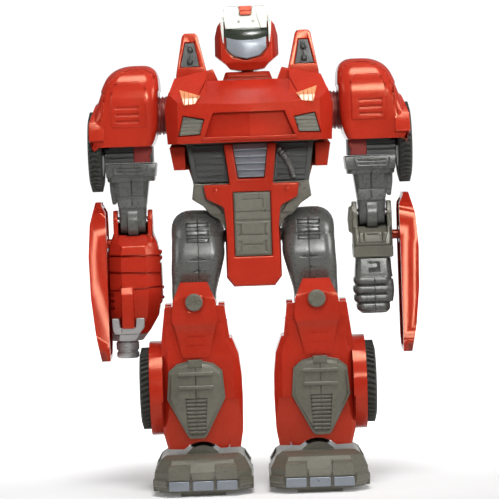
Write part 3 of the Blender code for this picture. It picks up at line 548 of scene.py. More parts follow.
def keep_pair(part, name, body, finish, *stands_for, edge=0.35, clamp=False):
    """Keeps the +X piece and its mirrored copy. Names come without their _l and _r."""
    mirrored = other_side(part)
    one_body = body if body in frame["bodies"] else None
    for side, piece in (("l", part), ("r", mirrored)):
        nodes = [f"{stood}_{side}" for stood in stands_for]
        keep(piece, f"{name}_{side}", one_body or f"{body}_{side}", finish, *nodes, edge=edge, clamp=clamp)


# ---------------------------------------------------------------- chest and torso

def hood_y(x, z):
    """How far forward the hood is at height z."""
    return HOOD_TOP[0] + (HOOD_NOSE[0] - HOOD_TOP[0]) * (HOOD_TOP[1] - z) / (HOOD_TOP[1] - HOOD_NOSE[1])


def build_chest():
    """The hood and nose, with the seams beside the hood and the recess of the intake."""
    plate = cad("chest_plate")
    seams, ribs = [], []
    for side in (1, -1):
        seam = [(side * 20.0, 204), (side * 20.45, 204), (side * 24.0, 196.6), (side * 23.6, 196.6)]
        seams.append(slab(seam, -60, lambda x, z: hood_y(x, z) + 0.6))
        ribs += [slab(rect((-19.5, -13.2), (z, z + 1.3)), side * 39.8, side * 46, "YZ")
                 for z in (177, 180.4)]
    plate = cut(plate, *seams, *ribs)
    keep(plate, "chest", "chest", "red_plastic", "chest_plate", edge=0.6, clamp=True)

    ridge = [(-17.2, 187.5), (0, 187.5), (0, 175), (-21.9, 175)]
    for side, tag in ((-1, "r"), (1, "l")):
        facet = slab([(-side * a, b) for a, b in ridge], lambda x, z: -31.3 + 0.12 * abs(x), -27.5)
        keep(facet, f"intake_wall_{tag}", "chest", "red_plastic", edge=0.1)
    lip = slab(
        [(-23, 175.3), (23, 175.3), (23.6, 173.4), (-23.6, 173.4)],
        lambda x, z: -33.6 + 0.087 * abs(x) + (174.4 - z) * 0.4, -26,
    )
    keep(lip, "intake_lip", "chest", "red_plastic", edge=0.5)

    lamp = [(22.2, 183.9), (31.9, 185.6), (34.2, 176.6), (24.3, 176.9)]
    grooves = [box((20, 38), (-32, -30.05), (z, z + 0.35)) for z in (178.4, 180.2, 182.0, 183.8)]
    keep_pair(cut(slab(lamp, -30.3, -28.3), *grooves), "fog_grille", "chest", "olive_grey_plastic",
              edge=0.1)

    outline = [(23.2, 195.6), (26.0, 191.8), (31.4, 191.0), (33.6, 199.0)]
    bend = [
        (-22.3, 200), (-26.9, 195.6), (-30.5, 194.6), (-32.7, 191.6), (-32.7, 190.5), (-30, 190.5),
        (-20.5, 200),
    ]
    glass = common(slab(bend, 20, 36, "YZ"), slab(outline, -40, -15))
    facets = [box((22.6 + 2.1 * k, 22.85 + 2.1 * k), (-40, -15), (190, 201)) for k in range(1, 5)]
    core = slab([(y + 0.4, z) for y, z in bend[:5]] + [(-10, 190.5), (-10, 200)], 10, 40, "YZ")
    keep_pair(engraved(glass, facets, core), "headlight_lens", "chest", "amber_lens", "headlight",
              edge=0.15)


def build_fins():
    """The two fins, each with a grey panel and two bumps sunk in its front."""
    def face_y(x, z):
        """The fin's front face, which leans back."""
        return -7.4 + 2 * (z - 210) / 18

    panel = [(23.4, 210.3), (33.4, 210.3), (30.6, 222.6), (25.8, 222.6)]
    fin = cut(cad("fin_l"), slab(panel, -12, lambda x, z: face_y(x, z) + 0.9))
    inset = [(x + 0.35 * (28.3 - x) / 5, z - 0.3 if z > 215 else z + 0.3) for x, z in panel]
    plate = slab(inset, lambda x, z: face_y(x, z) + 0.15, lambda x, z: face_y(x, z) + 1.3)
    bumps = [bead((x, face_y(x, z) + 0.3, z), (radius, 1.1, radius), 20)
             for x, z, radius in ((28, 218.8, 1.5), (28.3, 213.0, 1.7))]
    keep_pair(fin, "fin", "torso", "red_plastic", "fin", edge=0.5)
    keep_pair(join(plate, *bumps), "fin_panel", "torso", "black_plastic", edge=0.15)


def build_torso():
    """The middle frame with its dark slatted pockets, and the hose in the left one."""
    body = cad("torso_frame")
    flare = [(-14.4, 137.2), (-20.4, 137.2), (-24.2, 141.8), (-29, 145.4), (-28.2, 151.2), (-24.4, 151.2)]
    body = join(body, *[slab([(side * a, b) for a, b in flare], -11.8, -10) for side in (1, -1)])
    raised_thigh = turned(thigh_form(0.4), -HIP_FORWARD, "X", (0, 0, HIP_Z))
    body = cut(body, other_side(raised_thigh), raised_thigh)
    keep(body, "torso", "torso", "olive_grey_plastic", "torso_frame", edge=0.3)

    pocket = [(13.4, 171.4), (31.3, 171.4), (28.4, 153.2), (11.2, 153.2)]
    window = [(14.4, 170.6), (28.6, 170.6), (26.4, 154), (12.4, 154)]
    liner = slab(pocket, -11.9, -10.2)
    liner = cut(liner, slab(window, -13, -11.3))
    slats = [slab(rect((12, 29), (z, z + 0.9)), -11.7, -10.6) for z in (155.6, 158.6, 161.6, 164.6, 167.6)]
    slats = common(join(*slats), slab(window, -13, -10))
    keep_pair(join(liner, slats), "pocket_liner", "torso", "black_plastic", edge=0.15)

    steps = 44
    bend = [(13.6 + 7.2 * sin(pi / 2 * t / steps), -12.3, 169.4 - 15.4 * t / steps)
            for t in range(steps + 1)]
    keep(hose(bend, 1.45, 0.3), "belly_hose", "torso", "grey_plastic", edge=0)


def build_pelvis():
    """The red belly and crotch block, the louvred vent and the engraved strip."""
    keep(cad("pelvis_cover"), "pelvis", "torso", "red_plastic", "pelvis_cover", edge=0.9)
    boss = spin([(-17.2, 0), (-17.2, 1.5), (-17.7, 1.5), (-17.95, 1.2), (-17.95, 0)], "Y",
                (17.6, 0, 148.8), 28)
    keep_pair(boss, "pelvis_boss", "torso", "red_plastic", edge=0)

    teeth = [(-13.8, 171.6)]
    for k in range(5):
        top = 171.6 - 3.32 * k
        teeth += [(-15.4, top), (-16.9, top - 2.6), (-16.9, top - 3.0), (-15.4, top - 3.3)]
    teeth.append((-13.8, 155))
    trapezoid = slab([(-8.5, 171.6), (8.5, 171.6), (6.3, 155), (-6.3, 155)], -18, -13)
    vent = common(slab(teeth, -10, 10, "YZ"), trapezoid)
    keep(vent, "belly_louvres", "torso", "blue_grey_plastic", "belly_vent", edge=0.12)

    strip = slab(rect((-9, 9), (116.4, 147.7)), -16.6, -14.9)
    upper = slab(rect((-8.3, 8.3), (134.4, 147.0)), -17.1, -16)
    lower = slab(rect((-8.3, 8.3), (117.2, 133.0)), -17.1, -16)
    lines = [rect(about(0, 4.6), (z, z + 0.6)) for z in (126.4, 121.6)]
    lines += [
        rect((-4.6, 5.6), (144.0, 144.6)), rect((5.0, 5.6), (140.4, 144.6)),
        rect((-8.4, 8.4), (138.0, 138.4)),
    ]
    for side in (1, -1):
        for low, high in ((126.4, 131.4), (118.4, 123.2)):
            lines.append(rect(sorted((side * 5.6, side * 6.2)), (low, high)))
            lines += [rect(sorted((side * 5.6, side * 7.2)), (z, z + 0.6)) for z in (low, high)]
    strip = cut(join(strip, upper, lower), *[slab(line, -18, -16.5) for line in lines])
    keep(strip, "crotch_plate", "torso", "olive_grey_plastic", "crotch_strip", edge=0.14)


# ---------------------------------------------------------------- head

def build_skull():
    """The red skull with its cheek guards, side vents and back slots."""
    face = [
        (-10.6, 211), (-8.6, 208.6), (-4, 207.8), (4, 207.8), (8.6, 208.6), (10.6, 211), (15.8, 215.2),
        (15.6, 224.8), (14.2, 230), (12.4, 232.2), (-12.4, 232.2), (-14.2, 230), (-15.6, 224.8),
        (-15.8, 215.2),
    ]
    side_view = [
        (-10.6, 207.8), (-13.2, 211.6), (-13.8, 215), (-13.4, 226), (-11.8, 232), (8.6, 232), (10.6, 224),
        (9.6, 214), (7.4, 207.8),
    ]
    plan = [
        (-16, -5), (-12.6, -12.8), (-8, -14), (8, -14), (12.6, -12.8), (16, -5), (15.4, 7), (11, 11),
        (-11, 11),
        (-15.4, 7),
    ]
    skull = slab(face, -20, 20)
    skull = common(common(skull, slab(side_view, -20, 20, "YZ")), slab(plan, 200, 240, "XY"))
    room = [(-11.2, 233), (-11.2, 219), (-7.4, 214.2), (0, 212.6), (7.4, 214.2), (11.2, 219), (11.2, 233)]
    vents = [slab(rect((-1.5, 6), (z, z + 0.9)), side * 14.6, side * 20, "YZ")
             for side in (1, -1) for z in (217, 219.4, 221.8)]
    slots = [box((-9, 9), (9.2, 14), (z, z + 0.8)) for z in (216, 219, 222, 225)]
    socket = rod(3.4, (205, 216.6), "Z", (0, 0, 0), 20)
    skull = cut(skull, slab(room, -20, -10.2), socket, *vents, *slots)
    keep(skull, "head", "head", "red_plastic", "head_shell", edge=0.45)


def build_helmet():
    """The white helmet with its sunk middle and side strips, and the red crest. The pale side strips are the
    helmet's white sides and also a painted highlight on the guards' inner edges.
    """
    front = [
        (-10.2, 228.4), (-11, 233.4), (-10.7, 238.4), (-9.4, 239.9), (-4.6, 239.9), (-3.8, 239.2),
        (3.8, 239.2),
        (4.6, 239.9), (9.4, 239.9), (10.7, 238.4), (11, 233.4), (10.2, 228.4),
    ]
    side_view = [
        (-12.9, 228.4), (-12.6, 232), (-11.2, 237.2), (-9.4, 239.4), (-7.2, 239.9), (3.6, 239.9),
        (7.8, 237.4),
        (9.2, 233), (9.2, 230), (-8, 230), (-8, 228.4),
    ]
    helmet = common(slab(front, -20, 20), slab(side_view, -20, 20, "YZ"))
    middle = [(-4.4, 240.4), (4.4, 240.4), (5.6, 234), (7.4, 228), (-7.4, 228), (-5.6, 234)]

    def brow_y(x, z):
        """The helmet's front face below the crest."""
        return -12.6 + 0.27 * max(z - 232, 0)

    seat = slab([(-3.4, 239.8), (3.4, 239.8), (2.7, 234.8), (-2.7, 234.8)], -16, -9.6)
    dimples = [spin([(-14, 0.6), (-11.6, 0.6)], "Y", (side * 3.5, 0, 231.6), 16) for side in (1, -1)]
    sunk = slab(middle, -20, lambda x, z: brow_y(x, z) + 0.35)
    keep(cut(helmet, sunk, seat, *dimples), "helmet", "head", "white_plastic", "helmet_cap", edge=0.4)
    crest = slab([(-12.4, 235.0), (-12.2, 237.0), (-11.3, 237.4), (-10.3, 239.6), (-9, 239.7), (-9, 235.0)],
                 -4, 4, "YZ")
    crest = common(crest, slab([(-3.25, 240), (3.25, 240), (2.55, 235), (-2.55, 235)], -16, -8))
    keep(crest, "helmet_crest", "head", "red_plastic", edge=0.2)
    # Pale side strip: the helmet's white side and also a painted highlight along the guard's inner edge.
    strip = slab([(11.0, 234.6), (12.5, 233.4), (12.4, 228), (11.6, 221.4), (11.1, 221.4)], -14.0, -9)
    keep_pair(strip, "helmet_strip", "head", "white_plastic", edge=0.2)


def build_visor():
    """The curved visor and the faceted mouth plate below it."""
    columns = 16
    rings = []
    for k in range(columns + 1):
        x = -10.9 + 21.8 * k / columns
        low = 222.6 + 1.8 * (x / 10.9) ** 2
        front_y = -13.1 + 0.012 * x * x
        rings.append([(x, front_y + 0.3, low), (x, front_y, low + 1.6), (x, front_y + 0.1, 227.8),
                      (x, front_y + 0.6, 228.4), (x, -10, 228.4), (x, -10, low)])
    keep(loft(rings), "visor_lens", "head", "smoked_lens", "visor", edge=0)
    facets = []
    for x, top, fold, low in ((-9.8, 224.2, 219.6, 218.6), (-6.4, 223.2, 220.0, 215.1),
                              (0, 222.6, 220.9, 213.5),
                              (6.4, 223.2, 220.0, 215.1), (9.8, 224.2, 219.6, 218.6)):
        out = abs(x)
        facets.append([(x, -12.9 + 0.1 * out, top), (x, -14.5 + 0.24 * out, fold),
                       (x, -13.9 + 0.2 * out, low),
                       (x, -10, low), (x, -10, top)])
    keep(loft(facets), "mouth_plate", "head", "blue_grey_plastic", "face_mask", edge=0.12)


# ---------------------------------------------------------------- back of the robot

def build_neck():
    """The neck block with a groove across its front and back."""
    neck = cut(cad("neck_block"), *[box((-14, 14), y, (204.4, 204.9)) for y in ((-14, -8.5), (8.4, 14))])
    keep(neck, "neck", "neck", "red_plastic", "neck_block", edge=0.35)


def build_back():
    """The back casing with seams, vents, speaker holes and screws, and the ribbed cell door."""
    shell = cad("back_shell")
    deep = 30
    tools = []
    for side, tag in ((1, "l"), (-1, "r")):
        seam = [(side * 26.4, 202), (side * 27.0, 202), (side * 27.0, 148), (side * 26.4, 148)]
        tools.append(slab(seam, SHELL_BACK - 0.6, deep))
        vent = sorted((side * 28.8, side * 37))
        tools += [box(vent, (SHELL_BACK - 0.7, deep), (z, z + 1)) for z in (189, 191.6, 194.2)]
        for place, z in (("top", 199.2), ("low", 163.5)):
            x = side * 31.5
            tools.append(rod(2.6, (SHELL_BACK - 1.6, deep), "Y", (x, 0, z), 24))
            screw = spin([
                (SHELL_BACK - 1.7, 0), (SHELL_BACK - 1.7, 2.0), (SHELL_BACK - 0.7, 2.0),
                (SHELL_BACK - 0.4, 1.4),
                (SHELL_BACK - 0.4, 0),
            ], "Y", (x, 0, z), 24)
            cross = [
                box(about(x, wide), (SHELL_BACK - 1.0, deep), about(z, high))
                for wide, high in ((1.2, 0.28), (0.28, 1.2))
            ]
            keep(cut(screw, *cross), f"back_screw_{tag}_{place}", "torso", "steel", edge=0)
    for ring, count in ((0, 1), (2.6, 6), (5.2, 12)):
        for k in range(count):
            turn = 2 * pi * k / count
            hole = (-13 + ring * cos(turn), 0, 181.2 + ring * sin(turn))
            tools.append(rod(0.75, (18, deep), "Y", hole, 12))
    keep(cut(shell, *tools), "back", "torso", "red_plastic", "back_shell", edge=0.4, clamp=True)
    ribs = [box((-20, 20), (SHELL_BACK - 0.3, deep), (z, z + 0.7)) for z in (153, 155.4, 165.6)]
    keep(cut(cad("battery_door"), *ribs), "cell_door", "torso", "red_plastic", "battery_door", edge=0.25)


def build_roof():
    """The folded car roof with its seams, hatch and windows."""
    grooves = [box(sorted((side * 12.4, side * 12.9)), (ROOF_BACK - 0.5, 40), (147, 181))
               for side in (1, -1)]
    grooves += [box((-9.4, 9.4), (ROOF_BACK - 0.45, 40), (z, z + 0.45)) for z in (168.4, 155.6)]
    grooves += [box(sorted((side * 9.4, side * 9.0)), (ROOF_BACK - 0.45, 40), (155.6, 168.8))
                for side in (1, -1)]
    keep(cut(cad("roof_panel"), *grooves), "roof", "roof", "red_plastic", "roof_panel", edge=0.7,
         clamp=True)
    keep(cad("windscreen"), "windscreen_glass", "roof", "smoked_lens", "windscreen", edge=0.25)

    def side_x(y, z):
        """The roof's flank: it leans in from the base to the top."""
        return 24.8 - 6.3 * (y - 24.8) / 9.7

    glass = slab([(26.4, 145.5), (32.6, 151.5), (32.6, 177), (26.4, 183)],
                 lambda y, z: side_x(y, z) - 1.2, lambda y, z: side_x(y, z) + 0.35, "YZ")
    pillar = slab(rect((20, 40), (163.6, 165.2)), 10, 40, "YZ")
    keep_pair(cut(glass, pillar), "side_window", "roof", "smoked_lens", edge=0.2)

    def rear_y(x, z):
        """The roof's lower end: it leans out from the base to the top."""
        return 24.8 + 9.7 * (z - 138.6) / 9.4

    rear = slab([(-17.6, 140.8), (17.6, 140.8), (14.6, 146.4), (-14.6, 146.4)],
                lambda x, z: rear_y(x, z) - 1.2, lambda x, z: rear_y(x, z) + 0.35)
    keep(rear, "rear_window", "roof", "smoked_lens", edge=0.2)


# ---------------------------------------------------------------- arms

FENDER = [
    (172, 48.2, 78.8, -22, 22, 3.4), (176, 46.4, 78.6, -22, 22, 3.8), (182, 45, 77.4, -22, 22, 4.4),
    (190, 44.5, 75.2, -22, 22, 5), (197, 44.4, 72.8, -21.8, 21.8, 5.4), (202.5, 44.4, 70.8, -20.4, 20.4, 6),
    (206.6, 44.9, 68.6, -18.2, 18.2, 6.4), (209.6, 46.2, 65.4, -15.2, 15.2, 6.2),
    (211.4, 48.6, 61.4, -11.8, 11.8, 5), (212, 51, 58, -8.6, 8.6, 2.8),
]

FENDER_WALL = 2.4


def build_fender():
    """The front fender: a hollow pad with a lip, a raised panel with slots, and the wheel's arch."""
    pad = join(hull(FENDER), common(cad("fender_l"), box((71.2, 80), (-30, 30), (160, 200))))
    inner = [
        (z - 3 if z < 180 else z - 2.6, x0 + FENDER_WALL, min(x1 - FENDER_WALL, 70.4), y0 + FENDER_WALL,
         y1 - FENDER_WALL, max(corner - 1.5, 1))
        for z, x0, x1, y0, y1, corner in FENDER[:-2]
    ]
    inner.insert(0, (165, 50, 70.4, -19.6, 19.6, 2.5))
    bearing = rod(10, (42, 48), "X", (0, 0, SHOULDER_Z), 40)
    wheel_room = rod(21.6, (71.2, 85), "X", (0, 0, FRONT_WHEEL_Z), 64)
    pad = cut(pad, hull(inner), bearing, wheel_room)

    rim = [(43, 199), (43, 206), (45.4, 210), (49.6, 212.6), (58.6, 212.6), (65.6, 210.8), (70, 206.6),
           (73, 199)]
    band = [
        (45.4, 198), (45.8, 205.2), (47.4, 208.0), (50.6, 209.8), (58, 210), (63.6, 208.2), (67.6, 204.6),
        (70.2, 198),
    ]
    lip = cut(slab(rim, -40, 16), slab(band, -41, 17))
    panel = [(50.4, 181.6), (50.4, 200.4), (53, 203.8), (63.4, 203.8), (66.4, 200.6), (67.6, 192),
             (67.2, 181.6)]
    pad = raised(pad, [lip, slab(panel, -40, 0)], hull(FENDER, grow=0.45))
    slots = [
        slab([(54.2, z), (65.0, z), (65.4, z + 1.3), (54, z + 1.3)], -40, -22.1)
        for z in (190.4, 187.0, 183.6)
    ]
    slots += [slab(rect((52, 66), (z, z + 1.4)), 21.4, 40) for z in (182, 185, 188)]
    keep_pair(cut(pad, *slots), "fender", "shoulder", "red_plastic", "fender", edge=0.3)


def build_upper_arm():
    """Shoulder hub, the block that carries the front wheel, its link and the grey upper arm."""
    profile = [
        (31, 0), (31, 4), (39, 4), (39, 9.2), (39.4, 9.6), (41.2, 9.6), (41.5, 9.1), (42.2, 9.1),
        (42.5, 9.6),
        (43.0, 9.6), (43.3, 8.8), (43.8, 8.8), (44.1, 9.6), (50, 9.6), (50, 0),
    ]
    keep_pair(spin(profile, "X", (0, 0, SHOULDER_Z)), "shoulder_hub", "shoulder", "dark_red_plastic",
              "shoulder_hub", edge=0)
    grooves = [box((58, 72), (-13, -10.6), (z, z + 0.5)) for z in (166.4, 169)]
    keep_pair(cut(cad("wheel_block_l"), *grooves), "wheel_block", "shoulder", "black_plastic",
              "wheel_block")
    link = [(49.2, 164.2), (57.6, 164.2), (57.6, 173.4), (48.6, 173.4), (48.6, 169), (49.8, 167)]
    keep_pair(slab(link, -12.4, 12.4), "arm_link", "shoulder", "dark_red_plastic", edge=0.6)

    cuff = [
        slab(at(ARM_X, [(-12.2, 157), (12, 157), (12.6, 163.4), (-12.8, 163.4)]), -11.4, 11.4),
        slab(at(ARM_X, [(-7.4, 158), (8.4, 158), (9.2, 162.8), (-8.4, 162.8)]), -12.1, 12.1),
    ]
    plate = slab(
        at(ARM_X, [(-6.8, 156.4), (6.8, 156.4), (6.0, 147.6), (-6.0, 147.6)]),
        lambda x, z: -9.5 + (156.4 - z) * 0.12 + 0.09 * abs(x - ARM_X), 0,
    )
    rail = at(ARM_X, [(8.4, 156.4), (11, 156.4), (10.8, 150), (9.8, 143.6), (8.2, 143.6), (7.4, 146)])
    collar = at(ARM_X, [(-6.9, 146.4), (6.9, 146.4), (6.7, 141.6), (-6.7, 141.6)])
    arm = join(cad("upper_arm_l"), *cuff, plate, slab(rail, -4.6, 4.6), slab(collar, -7.4, 7.2))
    lines = [box(about(ARM_X + 0.4, 6.4), (-14, -11.8), (z, z + 0.4)) for z in (159.4, 161.2)]
    seam = box(about(ARM_X, 0.16), (-14, -7.2), (143, 156))
    keep_pair(cut(arm, *lines, seam), "upper_arm", "shoulder", "grey_plastic", "upper_arm", edge=0.4)


def facet_ring(z, middle, half, front, depth, shoulder=5.0):
    """A hexagon-fronted section: a flat front, two slants and a square back."""
    y0, y1 = depth
    return [
        (middle - front, y0, z), (middle + front, y0, z), (middle + half, y0 + shoulder, z),
        (middle + half, y1 - 3, z), (middle + half - 3, y1, z), (middle - half + 3, y1, z),
        (middle - half, y1 - 3, z), (middle - half, y0 + shoulder, z),
    ]


def cannon_body():
    """The faceted red casing with panel lines, knobs, front rib and the ears that take the elbow pin."""
    rings = [
        facet_ring(75.6, BARREL_X - 0.3, 7.6, 4.2, (-7.6, 7.6), 3.4),
        facet_ring(81, ARM_X + 2.6, 9.8, 5.4, (-9.6, 9.4), 4.4),
        facet_ring(88, ARM_X + 0.6, 12, 6.4, (-12.2, 11), 5.4),
        facet_ring(97, ARM_X - 0.2, 12.8, 6.4, (-13, 12), 5.6),
        facet_ring(118, ARM_X - 0.2, 12.7, 6.2, (-12.4, 11.6), 5.6),
        facet_ring(124.5, ARM_X, 11.6, 5.6, (-10.6, 10), 4.6),
        facet_ring(128.2, ARM_X, 9.8, 5, (-7.8, 7.6), 3),
    ]
    core = loft([[(x + 0.012 * (ARM_X - x), y * 0.986, z) for x, y, z in ring] for ring in rings])
    marks = [slab([(40, z), (80, z + lean), (80, z + lean + 0.3), (40, z + 0.3)], -40, 0)
             for z, lean in ((117.6, 0.8), (108.8, 1.4), (102.6, -2.2))]
    marks += [slab(rect((70, 80), (z, z + 1.0)), -40, 40) for z in (92, 95.2, 98.4)]
    body = engraved(loft(rings), marks, core)
    knobs = [box((45.6, 49), (-4.5, 4.5), (z, z + 1.9)) for z in (118.4, 115.4)]
    knobs += [box((46.2, 49), (-5.5, 5.5), (94, 113.6))]
    knobs += [bead((46.2, 0, z), (1.1, 3, 1.0)) for z in (101.5, 96.5)]
    rib = loft([
        [(BARREL_X + x, y, z) for x, y in ((-4.6, -8), (-4.2, front), (1.6, front), (2, -8))]
        for z, front in ((82.2, -14.6), (84, -15.2), (99.0, -15.2), (102.8, -12.8))
    ])
    ear = [(-6.5, 121), (-6.5, 136.4), (-3.5, 140.6), (3.5, 140.6), (6.5, 136.4), (9.6, 136.4), (9.6, 121)]
    ears = [slab(ear, *sorted((ARM_X + side * 7.4, ARM_X + side * 9.8)), "YZ") for side in (1, -1)]
    web = box(about(ARM_X, 9.6), (7, 9.6), (119, 137))
    body = join(body, *knobs, rib, *ears, web)
    return cut(
        body,
        rod(8.7, about(ARM_X, 3), "X", (0, 0, ELBOW_Z)),
        slab([(-4, 128.7), (-4, 131), (-14, 131), (-14, 120.2)], *about(ARM_X, 7.35), "YZ"),
        rod(1.9, about(ARM_X, 11), "X", (0, 0, ELBOW_Z), 20),
        rod(6.1, (70, 79.6), "Z", (BARREL_X, 0, 0), 40),
        rod(2.7, (65.5, 76), "X", (0, 0, 124), 20),
    )


def build_cannon():
    """The right forearm, drawn on the +X side and mirrored: the cannon, its silver end and its barrel."""
    body = cannon_body()
    low_end = ((50, 80), (-20, 20), (70, 79.2))
    collar = common(copy_of(body), box(*low_end))
    body = cut(body, box(*low_end))
    saddle = slab(
        at(BARREL_X, [(6.8, 87.2), (3.2, 87.2), (2.8, 82.4), (-4.8, 82.4), (-5.2, 87.2), (-9.4, 87.2),
                      (-9.2, 82.6), (-6.6, 79.2), (5.6, 79.2), (6.6, 81)]),
        lambda x, z: -13.2 + (87.2 - z) * 0.28, -6,
    )
    barrel = spin([
        (67.4, 4.0), (66.7, 4.4), (66.7, 5.0), (67.5, 5.6), (69.4, 5.6), (69.8, 5.1), (70.6, 5.1),
        (71, 5.7),
        (74.4, 5.8), (74.8, 5.3), (75.6, 5.3), (76, 5.85), (79.3, 5.85), (79.3, 0), (70.2, 0), (70.2, 3.7),
        (67.4, 4.0),
    ], "Z", (BARREL_X, 0, 0), 40)
    for part, name, finish, stands_for, edge in (
        (body, "cannon", "red_plastic", ("cannon_body",), 0.5),
        (collar, "cannon_collar", "silver_paint", (), 0.4),
        (saddle, "cannon_saddle", "silver_paint", (), 0.4),
        (barrel, "barrel", "silver_paint", ("cannon_barrel",), 0),
    ):
        keep(other_side(part), name, "forearm_r", finish, *stands_for, edge=edge)
        bpy.data.objects.remove(part)


def build_fist_arm():
    """The left forearm with its raised panel, and the fist: hand, four fingers, palm, thumb and wrist pin."""
    panel = slab(
        at(ARM_X, [(-7.0, 120.6), (6.2, 120.6), (6.8, 125.6), (-6.6, 125.6)]),
        lambda x, z: -10.3 + 0.011 * (z - 120.6) ** 2, 0,
    )
    ear = at(ARM_X, [(-11.6, 126), (-9.4, 124.6), (-9.4, 139.4), (-11.4, 138), (-12, 132)])
    arm = join(cad("forearm_l"), panel, slab(ear, -5.6, 5.6),
               box(about(ARM_X, 9.9), (-9, 9), (113.4, 118.6)))
    grooves = [box(about(ARM_X, 11), (-14, -8.7), (118.7, 119.0))]
    grooves += [box(about(ARM_X + side * 4.6, 0.2), (-14, -9.4), (121.4, 127)) for side in (1, -1)]
    grooves += [box(about(ARM_X, 2.6), (-14, -9.8), (124.4, 124.8)),
                rod(8.7, about(ARM_X, 3), "X", (0, 0, ELBOW_Z))]
    arm = cut(arm, *grooves)
    keep(arm, "forearm", "forearm_l", "olive_grey_plastic", "forearm_l", edge=0.35)

    hand = hull([
        (103.2, -9.4, 9.4, -8.4, 7.6, 3), (106, -9.3, 9, -8.2, 7.6, 3), (112.6, -8.7, 8.5, -7.4, 7.4, 2.6),
    ], smooth=3, middle=ARM_X)
    fingers = [
        hull([
            (z - 2.3, 1.6 - reach, reach - 2.4, -7.4, 5.6, 2.4),
            (z - 1.2, 0.3 - reach, reach - 1.6, -9.0, 6.6, 3.4),
            (z + 0.4, -reach, reach - 1.4, -9.6, 7, 3.8),
            (z + 1.7, 0.4 - reach, reach - 1.6, -8.9, 6.6, 3.4),
            (z + 2.3, 1.6 - reach, reach - 2.4, -7.4, 5.6, 2.4),
        ], smooth=3, middle=ARM_X)
        for z, reach in ((101.4, 10.2), (97.0, 10.6), (92.6, 10.2), (88.4, 9.0))
    ]
    palm = hull([
        (85.2, -6.4, 5.6, -5.6, 6.4, 3), (88, -8, 7.4, -7, 7.4, 3), (104, -8.6, 8.2, -7.4, 7.6, 3),
    ], smooth=2, middle=ARM_X)
    thumb = hull([
        (91, 5.6, 9.0, -8.6, -1, 1.6), (96.5, 5.2, 9.8, -9.2, 0, 1.8), (102, 5.6, 9.4, -8.8, -1, 1.8),
    ], smooth=3, middle=ARM_X)
    fist = join(hand, *fingers, palm, thumb, rod(3, (111, 119.8), "Z", (ARM_X, 0, 0), 24))
    slots = [
        box((ARM_X - 2.6, ARM_X + 3), (-12, -6.6), (105.6, 107.8)),
        box((ARM_X + 1.6, ARM_X + 3), (-12, -6.9), (107.6, 110.6)),
        box((ARM_X - 2.6, ARM_X + 1.8), (-12, -7.0), (110.0, 110.8)),
        box(about(ARM_X, 0.15), (-12, -8.9), (86, 103.6)),
    ]
    keep(cut(fist, *slots), "fist", "fist_l", "grey_plastic", "fist_l", edge=0.2)


DOOR_FACE = [(77.5, 145.5), (80.6, 134), (81.6, 118), (81.2, 98), (79.4, 80), (77, 65.5)]


def door_skin(z):
    """How far out the door's outer face is at height z: it is bowed from top to bottom."""
    for (x0, z0), (x1, z1) in zip(DOOR_FACE, DOOR_FACE[1:]):
        if z1 <= z <= z0:
            return x0 + (x1 - x0) * (z0 - z) / (z0 - z1)
    return DOOR_FACE[-1][0]


def door_line(y, z, deep=0.4):
    """A cutter that follows the door's outer face over the y and z spans."""
    heights = sorted({*z, *[bend for _, bend in DOOR_FACE if z[0] < bend < z[1]]})
    return slab([(door_skin(h) - deep, h) for h in heights] + [(90, z[1]), (90, z[0])], *y)


def build_doors():
    """The car doors with their seams, window, handle and stepped top corner."""
    step = [(70, 150), (74.8, 150), (74.8, 143.6), (72.4, 139.2), (70, 139.2)]
    lines = [
        ((-13.6, 13.6), (117.5, 118.0)), ((-13.4, 13.4), (71.6, 72.1)), ((-13.4, -12.9), (72, 117.6)),
        ((12.9, 13.4), (72, 117.6)), ((-10, 10), (76.2, 76.6)), ((-10, 10), (78.4, 78.8)),
    ]
    door = cut(cad("door_l"), slab(step, -20, 20), *[door_line(y, z) for y, z in lines])
    keep_pair(door, "door", "door", "red_plastic", "door", edge=0.45, clamp=True)
    window = slab([(-10.4, 119.4), (10.6, 119.4), (10.2, 133.4), (-9.4, 133.4)],
                  lambda y, z: door_skin(z) - 1.0, lambda y, z: door_skin(z) + 0.02, "YZ")
    keep_pair(window, "door_window", "door", "smoked_lens", edge=0.2)
    grip = hull([(103.6, 80.2, 81.45, -10.2, -3.2, 0.6), (105.6, 80.4, 81.5, -10.2, -3.2, 0.6)], smooth=1)
    keep_pair(grip, "door_handle", "door", "black_plastic", edge=0.2)


# ---------------------------------------------------------------- wheels

def tyre(low, high, radius, z, teeth=46):
    """A tyre whose tread blocks run slantwise across it."""
    width = high - low
    profile = [(low, 13.3, 0), (low, radius - 3.4, 0), (low + 0.5, radius - 1.6, 0), (low + 0.9, radius, 1)]
    profile += [(low + 0.9 + (width - 1.8) * k / 6, radius, 1) for k in range(1, 7)]
    profile += [(high - 0.5, radius - 1.6, 0), (high, radius - 3.4, 0), (high, 13.3, 0)]
    steps = teeth * 4
    shape = bmesh.new()
    rings = []
    for along, size, tread in profile:
        lean = 2.4 * abs((along - low) / width - 0.5) * 2
        ring = []
        for k in range(steps):
            turn = 2 * pi * (k + lean) / steps
            reach = size - (1.3 if tread and k % 4 > 1 else 0)
            ring.append(shape.verts.new(Vector((along, reach * cos(turn), z + reach * sin(turn))) * MM))
        rings.append(ring)
    for inner, outer in zip(rings, rings[1:] + rings[:1]):
        for k in range(steps):
            j = (k + 1) % steps
            shape.faces.new((inner[k], inner[j], outer[j], outer[k]))
    bmesh.ops.triangulate(shape, faces=[f for f in shape.faces if len(f.verts) > 4])
    return new_object(shape)


